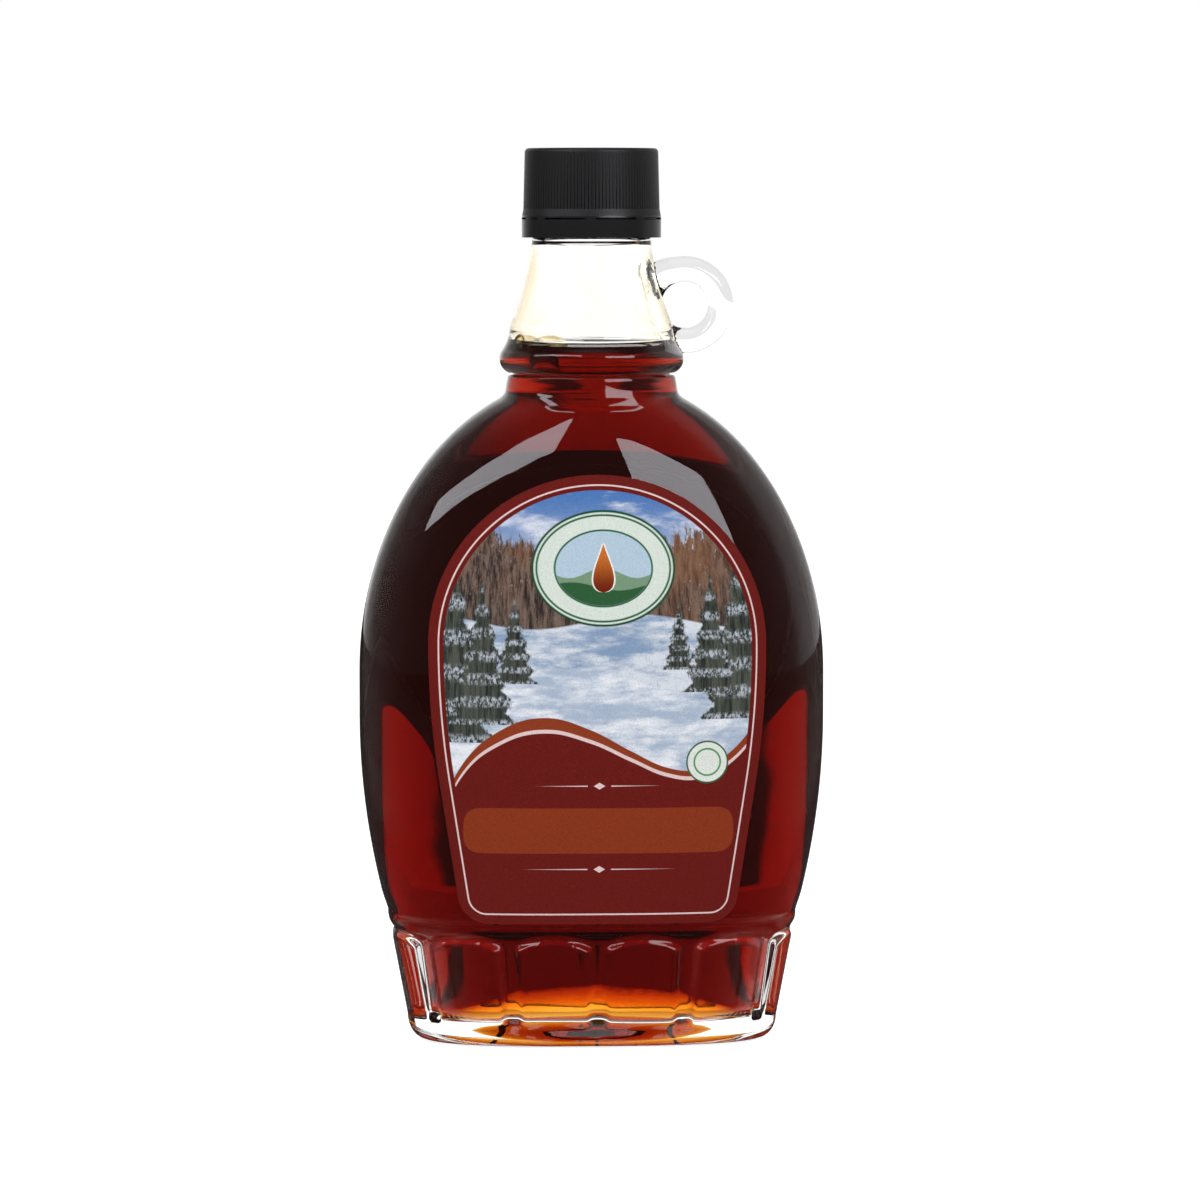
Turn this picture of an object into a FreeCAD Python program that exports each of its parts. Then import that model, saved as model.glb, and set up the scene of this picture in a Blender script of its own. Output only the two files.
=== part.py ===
import FreeCAD, Part
import Sketcher
import math
import os

# A half-litre syrup flask with a loop handle: clear pressed glass on an arcaded foot, filled into
# the neck, closed by a knurled screw cap with a tamper band, with a paper label front and back.
# Millimetres, +Z up, origin on the ground under the neck's axis, front label towards -Y.

Vector = FreeCAD.Vector
doc = FreeCAD.newDocument("SyrupFlask")

DRIVING = {
    # flask outline
    "flaskWidth": 103.6,
    "flaskDepth": 59.2,
    "flaskRoundness": 2.3,
    "bellyBottom": 72.0,
    "bellyTop": 82.0,
    "shoulderRise": 66.0,
    "waistHeight": 27.5,
    "waistWidth": 91.0,
    "waistDepth": 54.8,
    # arcaded foot
    "footRoundness": 2.8,
    "ledgeDrop": 3.2,
    "footWidth": 82.4,
    "footDepth": 51.8,
    "heelHeight": 5.0,
    "heelInset": 3.4,
    "archCount": 12,
    "archSill": 6.0,
    "archWidth": 17.0,
    "archRise": 3.9,
    "archHeadroom": 1.9,
    "archTopBevel": 2.3,
    "archSideBevel": 1.2,
    "archRoot": 4.5,
    "archProud": 0.8,
    "valleyTop": 1.7,
    "valleyFoot": 0.8,
    "valleyRunOut": 3.0,
    "pushUp": 6.5,
    "bearingWidth": 5.0,
    # glass thickness
    "wall": 2.5,
    "footWall": 3.1,
    "floorThickness": 5.6,
    "floorRadius": 3.6,
    "floorRise": 7.0,
    "floorRim": 2.0,
    "neckWall": 2.7,
    # neck, which sinks into the shoulder so that the two cross cleanly
    "neckSink": 6.0,
    "neckOverlap": 1.0,
    "collarRadius": 19.4,
    "collarHeight": 4.6,
    "collarDraft": 0.8,
    "grooveDepth": 1.2,
    "grooveHeight": 0.7,
    "beadHeight": 6.0,
    "beadRadius": 3.35,
    "neckFootRadius": 19.4,
    "kneeHeight": 4.1,
    "kneeRadius": 18.2,
    "coneHeight": 18.5,
    "coneCurve": 52.0,
    "neckTopRadius": 13.3,
    "lockBeadRadius": 14.0,
    "lockBeadHeight": 2.2,
    "finishRadius": 12.6,
    "finishHeight": 19.2,
    "boreRadius": 10.2,
    "lipRounding": 0.7,
    # loop handle
    "loopReach": 20.8,
    "loopDrop": 13.7,
    "loopHole": 5.2,
    "loopBar": 2.8,
    # contents
    "fillHeight": 152.3,
    # cap
    "capRadius": 15.15,
    "capHeight": 19.8,
    "capTopThickness": 1.8,
    "capShell": 1.2,
    "capDraft": 0.3,
    "capEdge": 0.9,
    "skirtFlare": 0.35,
    "skirtHeight": 1.9,
    "slitHeight": 0.45,
    "bandHeight": 4.0,
    "bridgeCount": 8,
    "bridgeAngle": 9.0,
    "knurlCount": 120,
    "knurlDepth": 0.35,
    "knurlStop": 0.3,
    "capFit": 0.25,
    "cutMargin": 1.0,
    # labels
    "labelWidth": 76.0,
    "labelHeadHeight": 88.5,
    "labelFootWidth": 59.6,
    "labelBottom": 28.9,
    "labelCorner": 5.5,
    "labelThickness": 0.15,
}

DERIVED = {
    "collarBottom": "bellyTop + shoulderRise * sqrt(1 - pow(2 * collarRadius / flaskWidth; 2))",
    "neckRoot": "collarBottom - neckSink",
    "collarTop": "collarBottom + collarHeight",
    "collarTopRadius": "collarRadius - collarDraft",
    "grooveRadius": "collarTopRadius - grooveDepth",
    "grooveTop": "collarTop + grooveHeight",
    "beadTop": "grooveTop + beadHeight",
    "kneeTop": "beadTop + kneeHeight",
    "coneTop": "kneeTop + coneHeight",
    "lockBeadBottom": "coneTop + lockBeadRadius - neckTopRadius",
    "lockBeadTop": "lockBeadBottom + lockBeadHeight",
    "finishBottom": "lockBeadTop + lockBeadRadius - finishRadius",
    "lipHeight": "coneTop + finishHeight",
    "lipShoulder": "lipHeight - lipRounding",
    "lipRadius": "finishRadius - lipRounding",
    "boreAboveLip": "lipHeight + cutMargin",
    "boreTaperTop": "lockBeadTop",
    "innerKneeRadius": "kneeRadius - neckWall",
    "innerNeckRadius": "neckFootRadius - neckWall",
    "innerCollarRadius": "collarRadius - neckWall",
    "innerCollarBottom": "bellyTop + (shoulderRise - wall)"
    " * sqrt(1 - pow(2 * innerCollarRadius / (flaskWidth - 2 * wall); 2))",
    "innerNeckRoot": "innerCollarBottom - neckSink",
    "innerConeCurve": "coneCurve + neckWall",
    "loopHeight": "coneTop - loopDrop",
    "loopRadius": "loopHole + loopBar",
    "capTop": "lipHeight + capTopThickness",
    "capShoulder": "capTop - capEdge",
    "capTopRadius": "capRadius - capDraft",
    "capTopFlat": "capTopRadius - capEdge",
    "capBottom": "capTop - capHeight",
    "bandTop": "capBottom + bandHeight",
    "skirtBottom": "bandTop + slitHeight",
    "skirtTop": "skirtBottom + skirtHeight",
    "skirtRadius": "capRadius + skirtFlare",
    "capInnerRadius": "capRadius - capShell",
    "bandInnerRadius": "lockBeadRadius + capFit",
    "knurlFloor": "capRadius - knurlDepth",
    "knurlOutside": "capRadius + cutMargin",
    "knurlHalfWidth": "0.95 * pi * knurlOutside / knurlCount",
    "knurlHeight": "capShoulder - knurlStop - skirtTop",
    "slitInside": "capInnerRadius - cutMargin",
    "slitOutside": "skirtRadius + cutMargin",
    "slitAngle": "360 / bridgeCount - bridgeAngle",
}

sheet = doc.addObject("Spreadsheet::Sheet", "sizes")


def fill_sheet():
    row = 1
    for alias, number in DRIVING.items():
        sheet.set(f"A{row}", alias)
        sheet.set(f"B{row}", str(number))
        sheet.setAlias(f"B{row}", alias)
        row += 1
    for alias, formula in DERIVED.items():
        sheet.set(f"A{row}", alias)
        sheet.set(f"B{row}", "=" + formula)
        sheet.setAlias(f"B{row}", alias)
        row += 1
    doc.recompute()


def size(alias):
    return float(sheet.get(alias))


def bind(target, place, alias):
    target.setExpression(place, "sizes." + alias)


fill_sheet()


def origin_plane(body, role):
    return next(f for f in body.Origin.OriginFeatures if f.Role == role)


def arc_between(start, end, radius, bulge):
    """Arc from start to end, bulging to the left (+1) or the right (-1) of the way there."""
    chord = end - start
    across = Vector(-chord.y, chord.x, 0).normalize()
    back = math.sqrt(radius**2 - chord.Length**2 / 4)
    centre = (start + end) / 2 - across * bulge * back
    circle = Part.Circle(centre, Vector(0, 0, 1), radius)
    first, last = (end, start) if bulge > 0 else (start, end)
    return Part.ArcOfCircle(circle, circle.parameter(first), circle.parameter(last))


def half_section(body, name, corners, arcs=None):
    """Closed outline on the XZ plane through (radius alias, height alias) corners.

    arcs gives, for the side that starts at a corner, its radius alias and its bulge.
    """
    arcs = arcs or {}
    sketch = body.newObject("Sketcher::SketchObject", name)
    sketch.AttachmentSupport = [(origin_plane(body, "XZ_Plane"), "")]
    sketch.MapMode = "FlatFace"
    at = [Vector(size(r) if r else 0, size(z) if z else 0, 0) for r, z in corners]
    ends = []
    for i, start in enumerate(at):
        end = at[(i + 1) % len(at)]
        if i in arcs:
            alias, bulge = arcs[i]
            side = sketch.addGeometry(arc_between(start, end, size(alias), bulge), False)
            ends.append((side, 2, 1) if bulge > 0 else (side, 1, 2))
            radius = sketch.addConstraint(Sketcher.Constraint("Radius", side, size(alias)))
            bind(sketch, f"Constraints[{radius}]", alias)
        else:
            side = sketch.addGeometry(Part.LineSegment(start, end), False)
            ends.append((side, 1, 2))
    for i, (r, z) in enumerate(corners):
        side, first, _ = ends[i]
        before, _, last = ends[i - 1]
        sketch.addConstraint(Sketcher.Constraint("Coincident", before, last, side, first))
        for kind, axis, alias, number in (("DistanceX", -2, r, at[i].x), ("DistanceY", -1, z, at[i].y)):
            if alias:
                place = sketch.addConstraint(Sketcher.Constraint(kind, -1, 1, side, first, number))
                bind(sketch, f"Constraints[{place}]", alias)
            else:
                sketch.addConstraint(Sketcher.Constraint("PointOnObject", side, first, axis))
    return sketch


def turned_body(label, corners, arcs=None):
    """A body turned about the neck's axis."""
    body = doc.addObject("PartDesign::Body", label)
    sketch = half_section(body, label + "Outline", corners, arcs)
    turn = body.newObject("PartDesign::Revolution", label + "Turn")
    turn.Profile = sketch
    turn.ReferenceAxis = (sketch, ["V_Axis"])
    turn.Angle = 360
    doc.recompute()
    return body


def oval(height, half_width, half_depth, roundness, count=20):
    """Closed level spline round a superellipse; roundness 2 is an ellipse, more is squarer."""
    points = []
    for i in range(count):
        turn = 2 * math.pi * i / count
        across, along = math.cos(turn), math.sin(turn)
        reach = (abs(across) ** roundness + abs(along) ** roundness) ** (-1 / roundness)
        points.append(Vector(half_width * reach * across, half_depth * reach * along, height))
    curve = Part.BSplineCurve()
    even = [i / count for i in range(count + 1)]
    curve.interpolate(Points=points, PeriodicFlag=True, Parameters=even)
    return Part.Wire(curve.toShape())


class Flask:
    """Level outlines of the flask: the outside for inset 0, the inside for the wall's inset."""

    def __init__(self, inset, foot_inset, neck_radius):
        self.width = size("flaskWidth") / 2 - inset
        self.depth = size("flaskDepth") / 2 - inset
        self.waist_width = size("waistWidth") / 2 - inset
        self.waist_depth = size("waistDepth") / 2 - inset
        self.foot_width = size("footWidth") / 2 - foot_inset
        self.foot_depth = size("footDepth") / 2 - foot_inset
        self.rise = size("shoulderRise") - inset
        top_radius = neck_radius - size("neckOverlap")
        self.belly_bottom = size("bellyBottom")
        self.belly_top = size("bellyTop")
        self.waist = size("waistHeight")
        self.roundness = size("flaskRoundness")
        self.foot_roundness = size("footRoundness")
        self.reach = math.acos(top_radius / self.width)
        self.top = self.belly_top + self.rise * math.sin(self.reach)
        lean = math.sqrt(1 - (top_radius / self.depth) ** 2)
        self.depth_rise = (self.top - self.belly_bottom) / lean

    def outline(self, height):
        """Half width, half depth and roundness at a height from the waist up."""
        width, depth = self.width, self.depth
        roundness = self.roundness
        if height < self.belly_bottom:
            share = (self.belly_bottom - height) / (self.belly_bottom - self.waist)
            width -= (width - self.waist_width) * share**2
            depth -= (depth - self.waist_depth) * share**2
            roundness += (self.foot_roundness - roundness) * share**2
        else:
            depth *= math.sqrt(1 - ((height - self.belly_bottom) / self.depth_rise) ** 2)
            share = (height - self.belly_bottom) / (self.top - self.belly_bottom)
            roundness += (2 - roundness) * share**2
        if height > self.belly_top:
            width *= math.sqrt(1 - ((height - self.belly_top) / self.rise) ** 2)
        return width, depth, roundness

    def body(self, lower_steps=4, shoulder_steps=5):
        """Solid from the waist up to where the shoulder meets the neck."""
        heights = []
        for i in range(lower_steps):
            heights.append(self.waist + (self.belly_bottom - self.waist) * i / (lower_steps - 1))
        for i in range(shoulder_steps + 1):
            heights.append(self.belly_top + self.rise * math.sin(self.reach * i / shoulder_steps))
        return Part.makeLoft([oval(z, *self.outline(z)) for z in heights], True)

    def foot(self, steps):
        """Solid down from the waist through (height, inset from the tapering side) steps."""
        wires = [oval(self.waist, *self.outline(self.waist))]
        for height, inset in steps:
            width, depth = self.foot_side(height)
            wires.append(oval(height, width - inset, depth - inset, self.foot_roundness))
        return Part.makeLoft(wires, True, True)

    def foot_side(self, height):
        """Half width and half depth of the foot's tapering side, before any step or rounding."""
        share = (height - size("heelHeight")) / (self.waist - size("heelHeight"))
        width = self.foot_width + (self.waist_width - self.foot_width) * share
        depth = self.foot_depth + (self.waist_depth - self.foot_depth) * share
        return width, depth


def rounded(bottom, height, inset, steps=3):
    """(height, inset) steps of a quarter-round edge, from its top to its bottom."""
    turns = [math.pi / 2 * i / steps for i in range(steps + 1)]
    return [(bottom + height * (1 - math.sin(t)), inset * (1 - math.cos(t))) for t in turns]


def feature(label, shape):
    part = doc.addObject("Part::Feature", label)
    part.Shape = shape
    return part


def flask_outside():
    """The flask down to its foot, whose side is drawn in to the valleys between the panels."""
    flask = Flask(0, 0, size("collarRadius"))
    steps = [
        (size("waistHeight") - size("ledgeDrop"), size("valleyTop")),
        (size("heelHeight") + size("valleyRunOut"), size("valleyFoot")),
    ]
    steps += rounded(0, size("heelHeight"), size("heelInset"))
    return feature("flaskOutside", flask.body().fuse(flask.foot(steps)))


def flask_inside():
    inner = Flask(size("wall"), size("footWall"), size("innerCollarRadius"))
    ledge = size("waistHeight") - 1.5 * size("ledgeDrop")
    steps = [(ledge, size("footWall") - size("wall"))]
    steps += rounded(size("floorThickness"), size("floorRadius"), size("floorRadius"))
    return feature("flaskInside", inner.body().fuse(inner.foot(steps)))


def neck_outside():
    corners = [
        (None, "neckRoot"),
        ("collarRadius", "neckRoot"),
        ("collarRadius", "collarBottom"),
        ("collarTopRadius", "collarTop"),
        ("grooveRadius", "collarTop"),
        ("grooveRadius", "grooveTop"),
        ("neckFootRadius", "beadTop"),
        ("kneeRadius", "kneeTop"),
        ("neckTopRadius", "coneTop"),
        ("lockBeadRadius", "lockBeadBottom"),
        ("lockBeadRadius", "lockBeadTop"),
        ("finishRadius", "finishBottom"),
        ("finishRadius", "lipShoulder"),
        ("lipRadius", "lipHeight"),
        (None, "lipHeight"),
    ]
    arcs = {5: ("beadRadius", -1), 7: ("coneCurve", 1), 12: ("lipRounding", -1)}
    return turned_body("neckOutside", corners, arcs)


def neck_inside():
    corners = [
        (None, "innerNeckRoot"),
        ("innerCollarRadius", "innerNeckRoot"),
        ("innerCollarRadius", "collarTop"),
        ("innerNeckRadius", "beadTop"),
        ("innerKneeRadius", "kneeTop"),
        ("boreRadius", "boreTaperTop"),
        ("boreRadius", "boreAboveLip"),
        (None, "boreAboveLip"),
    ]
    return turned_body("neckInside", corners, {4: ("innerConeCurve", 1)})


def loop_handle():
    """Round glass bar bent into a ring that stands out from the neck."""
    loop = doc.addObject("Part::Torus", "loopHandle")
    bind(loop, "Radius1", "loopRadius")
    bind(loop, "Radius2", "loopBar")
    loop.Placement = FreeCAD.Placement(Vector(0, 0, 0), FreeCAD.Rotation(Vector(1, 0, 0), 90))
    bind(loop, ".Placement.Base.x", "loopReach")
    bind(loop, ".Placement.Base.z", "loopHeight")
    return loop


def dome(label, base, rise, half_width, half_depth, steps=6):
    """Shallow dome that rises from a level, on a short straight root, for the push-up and floor."""
    wires = [oval(base - rise, half_width, half_depth, 2)]
    for i in range(steps + 1):
        turn = math.pi / 2 * i / (steps + 0.5)
        spread = math.cos(turn)
        wires.append(oval(base + rise * math.sin(turn), half_width * spread, half_depth * spread, 2))
    return feature(label, Part.makeLoft(wires, True, True))


def foot_point(turn, height, flask):
    """Point on the foot's tapering side at a turn about the axis."""
    width, depth = flask.foot_side(height)
    across, along = math.cos(turn), math.sin(turn)
    n = flask.foot_roundness
    reach = (abs(across) ** n + abs(along) ** n) ** (-1 / n)
    return Vector(width * reach * across, depth * reach * along, height)


def even_turns(flask, height, count, samples=720):
    """Turns that share the foot's outline into equal lengths, half a share off the +X axis."""
    turns = [2 * math.pi * i / samples for i in range(samples + 1)]
    points = [foot_point(t, height, flask) for t in turns]
    lengths = [0]
    for a, b in zip(points, points[1:]):
        lengths.append(lengths[-1] + (b - a).Length)
    found = []
    for k in range(count):
        goal = lengths[-1] * (k + 0.5) / count
        i = next(i for i in range(samples) if lengths[i + 1] >= goal)
        part = (goal - lengths[i]) / (lengths[i + 1] - lengths[i])
        found.append(turns[i] + part * (turns[i + 1] - turns[i]))
    return found


def arch_outline(half_width, sill, spring, crown, lift):
    """Round-headed outline on the local XY plane, lifted along Z."""
    left, right = Vector(-half_width, sill, lift), Vector(half_width, sill, lift)
    left_top, right_top = Vector(-half_width, spring, lift), Vector(half_width, spring, lift)
    head = Part.Arc(left_top, Vector(0, crown, lift), right_top).toShape()
    sides = [(right_top, right), (right, left), (left, left_top)]
    return Part.Wire([head] + [Part.LineSegment(a, b).toShape() for a, b in sides])


def arch_panels(turn_step=0.01):
    """Raised round-headed panels with bevelled edges, evenly round the foot, faced by its side."""
    flask = Flask(0, 0, size("collarRadius"))
    crown = size("waistHeight") - size("archHeadroom")
    middle = (size("archSill") + crown) / 2
    half, sill, crown = size("archWidth") / 2, size("archSill") - middle, crown - middle
    depth = size("valleyTop")
    panels = []
    for turn in even_turns(flask, middle, int(size("archCount"))):
        low, high = foot_point(turn, middle + sill, flask), foot_point(turn, middle + crown, flask)
        up = (high - low).normalize()
        after, before = turn + turn_step, turn - turn_step
        along = foot_point(after, middle, flask) - foot_point(before, middle, flask)
        out = along.cross(up).normalize()
        outlines = []
        for lift in (-size("archRoot"), -depth, size("archProud")):
            share = max(0, 1 + lift / depth)
            width = half - size("archSideBevel") * share
            top = crown - size("archTopBevel") * share
            outlines.append(arch_outline(width, sill, top - size("archRise"), top, lift))
        place = FreeCAD.Matrix()
        place.A11, place.A21, place.A31 = up.cross(out)
        place.A12, place.A22, place.A32 = up
        place.A13, place.A23, place.A33 = out
        place.A14, place.A24, place.A34 = foot_point(turn, middle, flask)
        panels.append(Part.makeLoft(outlines, True, True).transformGeometry(place))
    sides = flask.foot(rounded(0, size("heelHeight"), size("heelInset")))
    panels = feature("panelBlanks", Part.makeCompound(panels))
    faced = doc.addObject("Part::Common", "archPanels")
    faced.Base = panels
    faced.Tool = feature("footSides", sides)
    return faced


def fused(label, shapes):
    joined = doc.addObject("Part::MultiFuse", label)
    joined.Shapes = shapes
    return joined


def cut(label, base, tool):
    result = doc.addObject("Part::Cut", label)
    result.Base = base
    result.Tool = tool
    return result


def glass_and_inside():
    """The glass in one piece, and the hollow that its contents and air fill."""
    hollow = fused("hollow", [flask_inside(), neck_inside()])
    floor_dome = dome(
        "floorDome",
        size("floorThickness"),
        size("floorRise"),
        size("footWidth") / 2 - size("footWall") - size("floorRadius") - size("floorRim"),
        size("footDepth") / 2 - size("footWall") - size("floorRadius") - size("floorRim"),
    )
    inside = cut("inside", hollow, floor_dome)
    blank = fused("blank", [flask_outside(), arch_panels(), neck_outside(), loop_handle()])
    push_up = dome(
        "pushUpDome",
        0,
        size("pushUp"),
        size("footWidth") / 2 - size("heelInset") - size("bearingWidth"),
        size("footDepth") / 2 - size("heelInset") - size("bearingWidth"),
    )
    stood = cut("stood", blank, push_up)
    return cut("glass", stood, inside), inside


def syrup(inside):
    """The contents, up to the fill level."""
    level = doc.addObject("Part::Box", "belowLevel")
    bind(level, "Length", "flaskWidth")
    bind(level, "Width", "flaskDepth")
    bind(level, "Height", "fillHeight")
    bind(level, ".Placement.Base.x", "flaskWidth * -0.5")
    bind(level, ".Placement.Base.y", "flaskDepth * -0.5")
    contents = doc.addObject("Part::Common", "syrup")
    contents.Base = inside
    contents.Tool = level
    return contents


def knurl_sketch(body):
    """One V notch between two knurls, across the skirt's rim on the +X side."""
    sketch = body.newObject("Sketcher::SketchObject", "knurlNotch")
    sketch.AttachmentSupport = [(origin_plane(body, "XY_Plane"), "")]
    sketch.MapMode = "FlatFace"
    bind(sketch, ".AttachmentOffset.Base.z", "skirtTop")
    floor, rim, half = size("knurlFloor"), size("knurlOutside"), size("knurlHalfWidth")
    corners = [Vector(floor, 0, 0), Vector(rim, half, 0), Vector(rim, -half, 0)]
    for a, b in zip(corners, corners[1:] + corners[:1]):
        sketch.addGeometry(Part.LineSegment(b, a), False)
    for side in range(3):
        sketch.addConstraint(Sketcher.Constraint("Coincident", side, 1, (side + 1) % 3, 2))
    sketch.addConstraint(Sketcher.Constraint("PointOnObject", 0, 2, -1))
    for side, kind, alias in ((0, "DistanceX", "knurlFloor"), (1, "DistanceX", "knurlOutside")):
        place = sketch.addConstraint(Sketcher.Constraint(kind, -1, 1, side, 2, size(alias)))
        bind(sketch, f"Constraints[{place}]", alias)
    sketch.addConstraint(Sketcher.Constraint("Symmetric", 1, 1, 1, 2, -1))
    place = sketch.addConstraint(Sketcher.Constraint("DistanceY", -1, 1, 1, 2, half))
    bind(sketch, f"Constraints[{place}]", "knurlHalfWidth")
    return sketch


def cap():
    """Knurled cap and tamper band in one moulding, joined across the slit by small bridges."""
    corners = [
        (None, "lipHeight"),
        ("capInnerRadius", "lipHeight"),
        ("capInnerRadius", "skirtBottom"),
        ("bandInnerRadius", "bandTop"),
        ("bandInnerRadius", "capBottom"),
        ("skirtRadius", "capBottom"),
        ("skirtRadius", "skirtBottom"),
        ("capRadius", "skirtTop"),
        ("capTopRadius", "capShoulder"),
        ("capTopFlat", "capTop"),
        (None, "capTop"),
    ]
    body = turned_body("cap", corners, {8: ("capEdge", -1)})
    notch = body.newObject("PartDesign::Pocket", "notch")
    notch.Profile = knurl_sketch(body)
    notch.Reversed = True
    bind(notch, "Length", "knurlHeight")
    knurls = body.newObject("PartDesign::PolarPattern", "knurls")
    knurls.Originals = [notch]
    knurls.Axis = (origin_plane(body, "Z_Axis"), [""])
    knurls.Angle = 360
    bind(knurls, "Occurrences", "knurlCount")
    body.Tip = knurls
    doc.recompute()
    slit_corners = [
        ("slitInside", "bandTop"),
        ("slitOutside", "bandTop"),
        ("slitOutside", "skirtBottom"),
        ("slitInside", "skirtBottom"),
    ]
    slit = body.newObject("PartDesign::Groove", "slit")
    slit_sketch = half_section(body, "slitOutline", slit_corners)
    slit.Profile = slit_sketch
    slit.ReferenceAxis = (slit_sketch, ["V_Axis"])
    bind(slit, "Angle", "slitAngle")
    slits = body.newObject("PartDesign::PolarPattern", "slits")
    slits.Originals = [slit]
    slits.Axis = (origin_plane(body, "Z_Axis"), [""])
    slits.Angle = 360
    bind(slits, "Occurrences", "bridgeCount")
    body.Tip = slits
    doc.recompute()
    return body


def label_prism(side):
    """The label's outline carried out along Y: side -1 for the front, +1 for the back.

    A round head, tangent to straight sides that draw in to the foot, with rounded foot corners.
    """
    radius, centre = size("labelWidth") / 2, size("labelHeadHeight")
    bottom, foot = size("labelBottom"), size("labelFootWidth") / 2
    away = math.hypot(foot, centre - bottom)
    lean = math.asin(radius / away) - math.atan2(foot, centre - bottom)
    touch = Vector(radius * math.cos(lean), 0, centre - radius * math.sin(lean))
    mirrored = Vector(-touch.x, 0, touch.z)
    head = Part.Arc(touch, Vector(0, 0, centre + radius), mirrored).toShape()
    left, right = Vector(-foot, 0, bottom), Vector(foot, 0, bottom)
    sides = [(mirrored, left), (left, right), (right, touch)]
    outline = Part.Wire([head] + [Part.LineSegment(a, b).toShape() for a, b in sides])
    prism = Part.Face(outline).extrude(Vector(0, side * size("flaskDepth"), 0))
    corners = [
        e for e in prism.Edges
        if abs(e.BoundBox.YLength - size("flaskDepth")) < 0.001 and e.BoundBox.ZMax < bottom + 1
    ]
    return prism.makeFillet(size("labelCorner"), corners)


def labels(outside):
    """Paper labels, face to face with the glass in front and behind."""
    paper = Flask(-size("labelThickness"), 0, size("collarRadius"))
    skin = feature("labelSkin", paper.body())
    made = []
    for name, side in (("front_label", -1), ("back_label", 1)):
        prism = feature(name + "_prism", label_prism(side))
        sheet_blank = doc.addObject("Part::Common", name + "_blank")
        sheet_blank.Base = prism
        sheet_blank.Tool = skin
        made.append(cut(name, sheet_blank, outside))
    return made


def check(parts):
    """Stops the build if any object failed, or any piece is empty or unsound."""
    for item in doc.Objects:
        if "Invalid" in item.State or "Error" in item.State:
            raise RuntimeError(f"{item.Label} failed: {item.State}")
    for part in parts:
        shape = part.Shape
        if shape.isNull() or not shape.isValid() or len(shape.Solids) != 1:
            raise RuntimeError(f"{part.Label} is not one sound solid")


def main():
    glass, inside = glass_and_inside()
    contents = syrup(inside)
    closure = cap()
    front, back = labels(doc.getObject("flaskOutside"))
    doc.recompute()
    parts = [glass, contents, closure, front, back]
    check(parts)
    os.makedirs("parts", exist_ok=True)
    for part in parts:
        part.Shape.exportStep(f"parts/{part.Label}.step")
        print(part.Label, round(part.Shape.Volume), "mm3")


main()
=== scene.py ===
import bpy
import bmesh
import math
from mathutils import Matrix, Vector


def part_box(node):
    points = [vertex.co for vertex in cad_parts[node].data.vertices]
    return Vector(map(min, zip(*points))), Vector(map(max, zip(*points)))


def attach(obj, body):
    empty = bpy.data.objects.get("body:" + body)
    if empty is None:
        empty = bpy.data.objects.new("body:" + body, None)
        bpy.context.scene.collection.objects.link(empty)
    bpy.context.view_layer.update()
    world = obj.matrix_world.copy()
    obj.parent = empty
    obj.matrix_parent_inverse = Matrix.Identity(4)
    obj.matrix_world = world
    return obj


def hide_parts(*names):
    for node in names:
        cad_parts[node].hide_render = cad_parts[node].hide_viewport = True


# Half-litre flask of dark tree syrup: clear glass, loop handle, black screw cap, paper labels.
# Metres, +Z up, front label towards -Y.

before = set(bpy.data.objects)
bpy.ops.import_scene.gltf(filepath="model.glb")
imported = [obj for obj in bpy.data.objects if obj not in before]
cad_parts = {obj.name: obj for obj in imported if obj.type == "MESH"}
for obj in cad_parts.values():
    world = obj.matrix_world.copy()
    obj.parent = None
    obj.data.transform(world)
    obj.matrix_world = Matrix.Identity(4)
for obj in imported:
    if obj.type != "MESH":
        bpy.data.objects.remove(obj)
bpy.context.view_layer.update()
mm = 0.001
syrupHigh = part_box("syrup")[1]
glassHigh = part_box("glass")[1]

# form of the flask, as the frame has it
flask = {
    "halfWidth": glassHigh.x - 0.08 * mm,  # the frame's box stands this much proud of the belly
    "halfDepth": glassHigh.y,
    "roundness": 2.3,
    "bellyBottom": 72 * mm,
    "bellyTop": 82 * mm,
    "shoulderRise": 66 * mm,
    "shoulderTop": 141 * mm,
    "waist": 27.5 * mm,
    "waistHalfWidth": 45.5 * mm,
    "waistHalfDepth": 27.4 * mm,
    "footRoundness": 2.8,
    "footHalfWidth": 41.2 * mm,
    "footHalfDepth": 25.9 * mm,
    "heelHeight": 5 * mm,
    "heelInset": 3.4 * mm,
    "ledgeDrop": 3.2 * mm,
    "collarRadius": 19.4 * mm,
    "collarTaper": 0.174,
    "taperStart": 143.2 * mm,
    "collarTop": 146.5 * mm,
    "neckOverlap": 1 * mm,
    "shoulderBlend": 1.6 * mm,
    "blendStep": 0.25 * mm,
    "wall": 2.5 * mm,
    "footWall": 3.1 * mm,
    "footEndWall": 4.6 * mm,
    "footEndBlend": 4 * mm,
    "innerCollarRadius": 16.7 * mm,
    "innerCollarTop": 144.8 * mm,
    "innerBlend": 2 * mm,
    "innerBlendStep": 0.5 * mm,
    "innerBlendFoot": 137.2 * mm,
    "innerShoulderTop": 136.8 * mm,
}


def superRadius(theta, halfWidth, halfDepth, roundness):
    across = abs(math.cos(theta) / halfWidth) ** roundness
    along = abs(math.sin(theta) / halfDepth) ** roundness
    return (across + along) ** (-1 / roundness)


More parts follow.
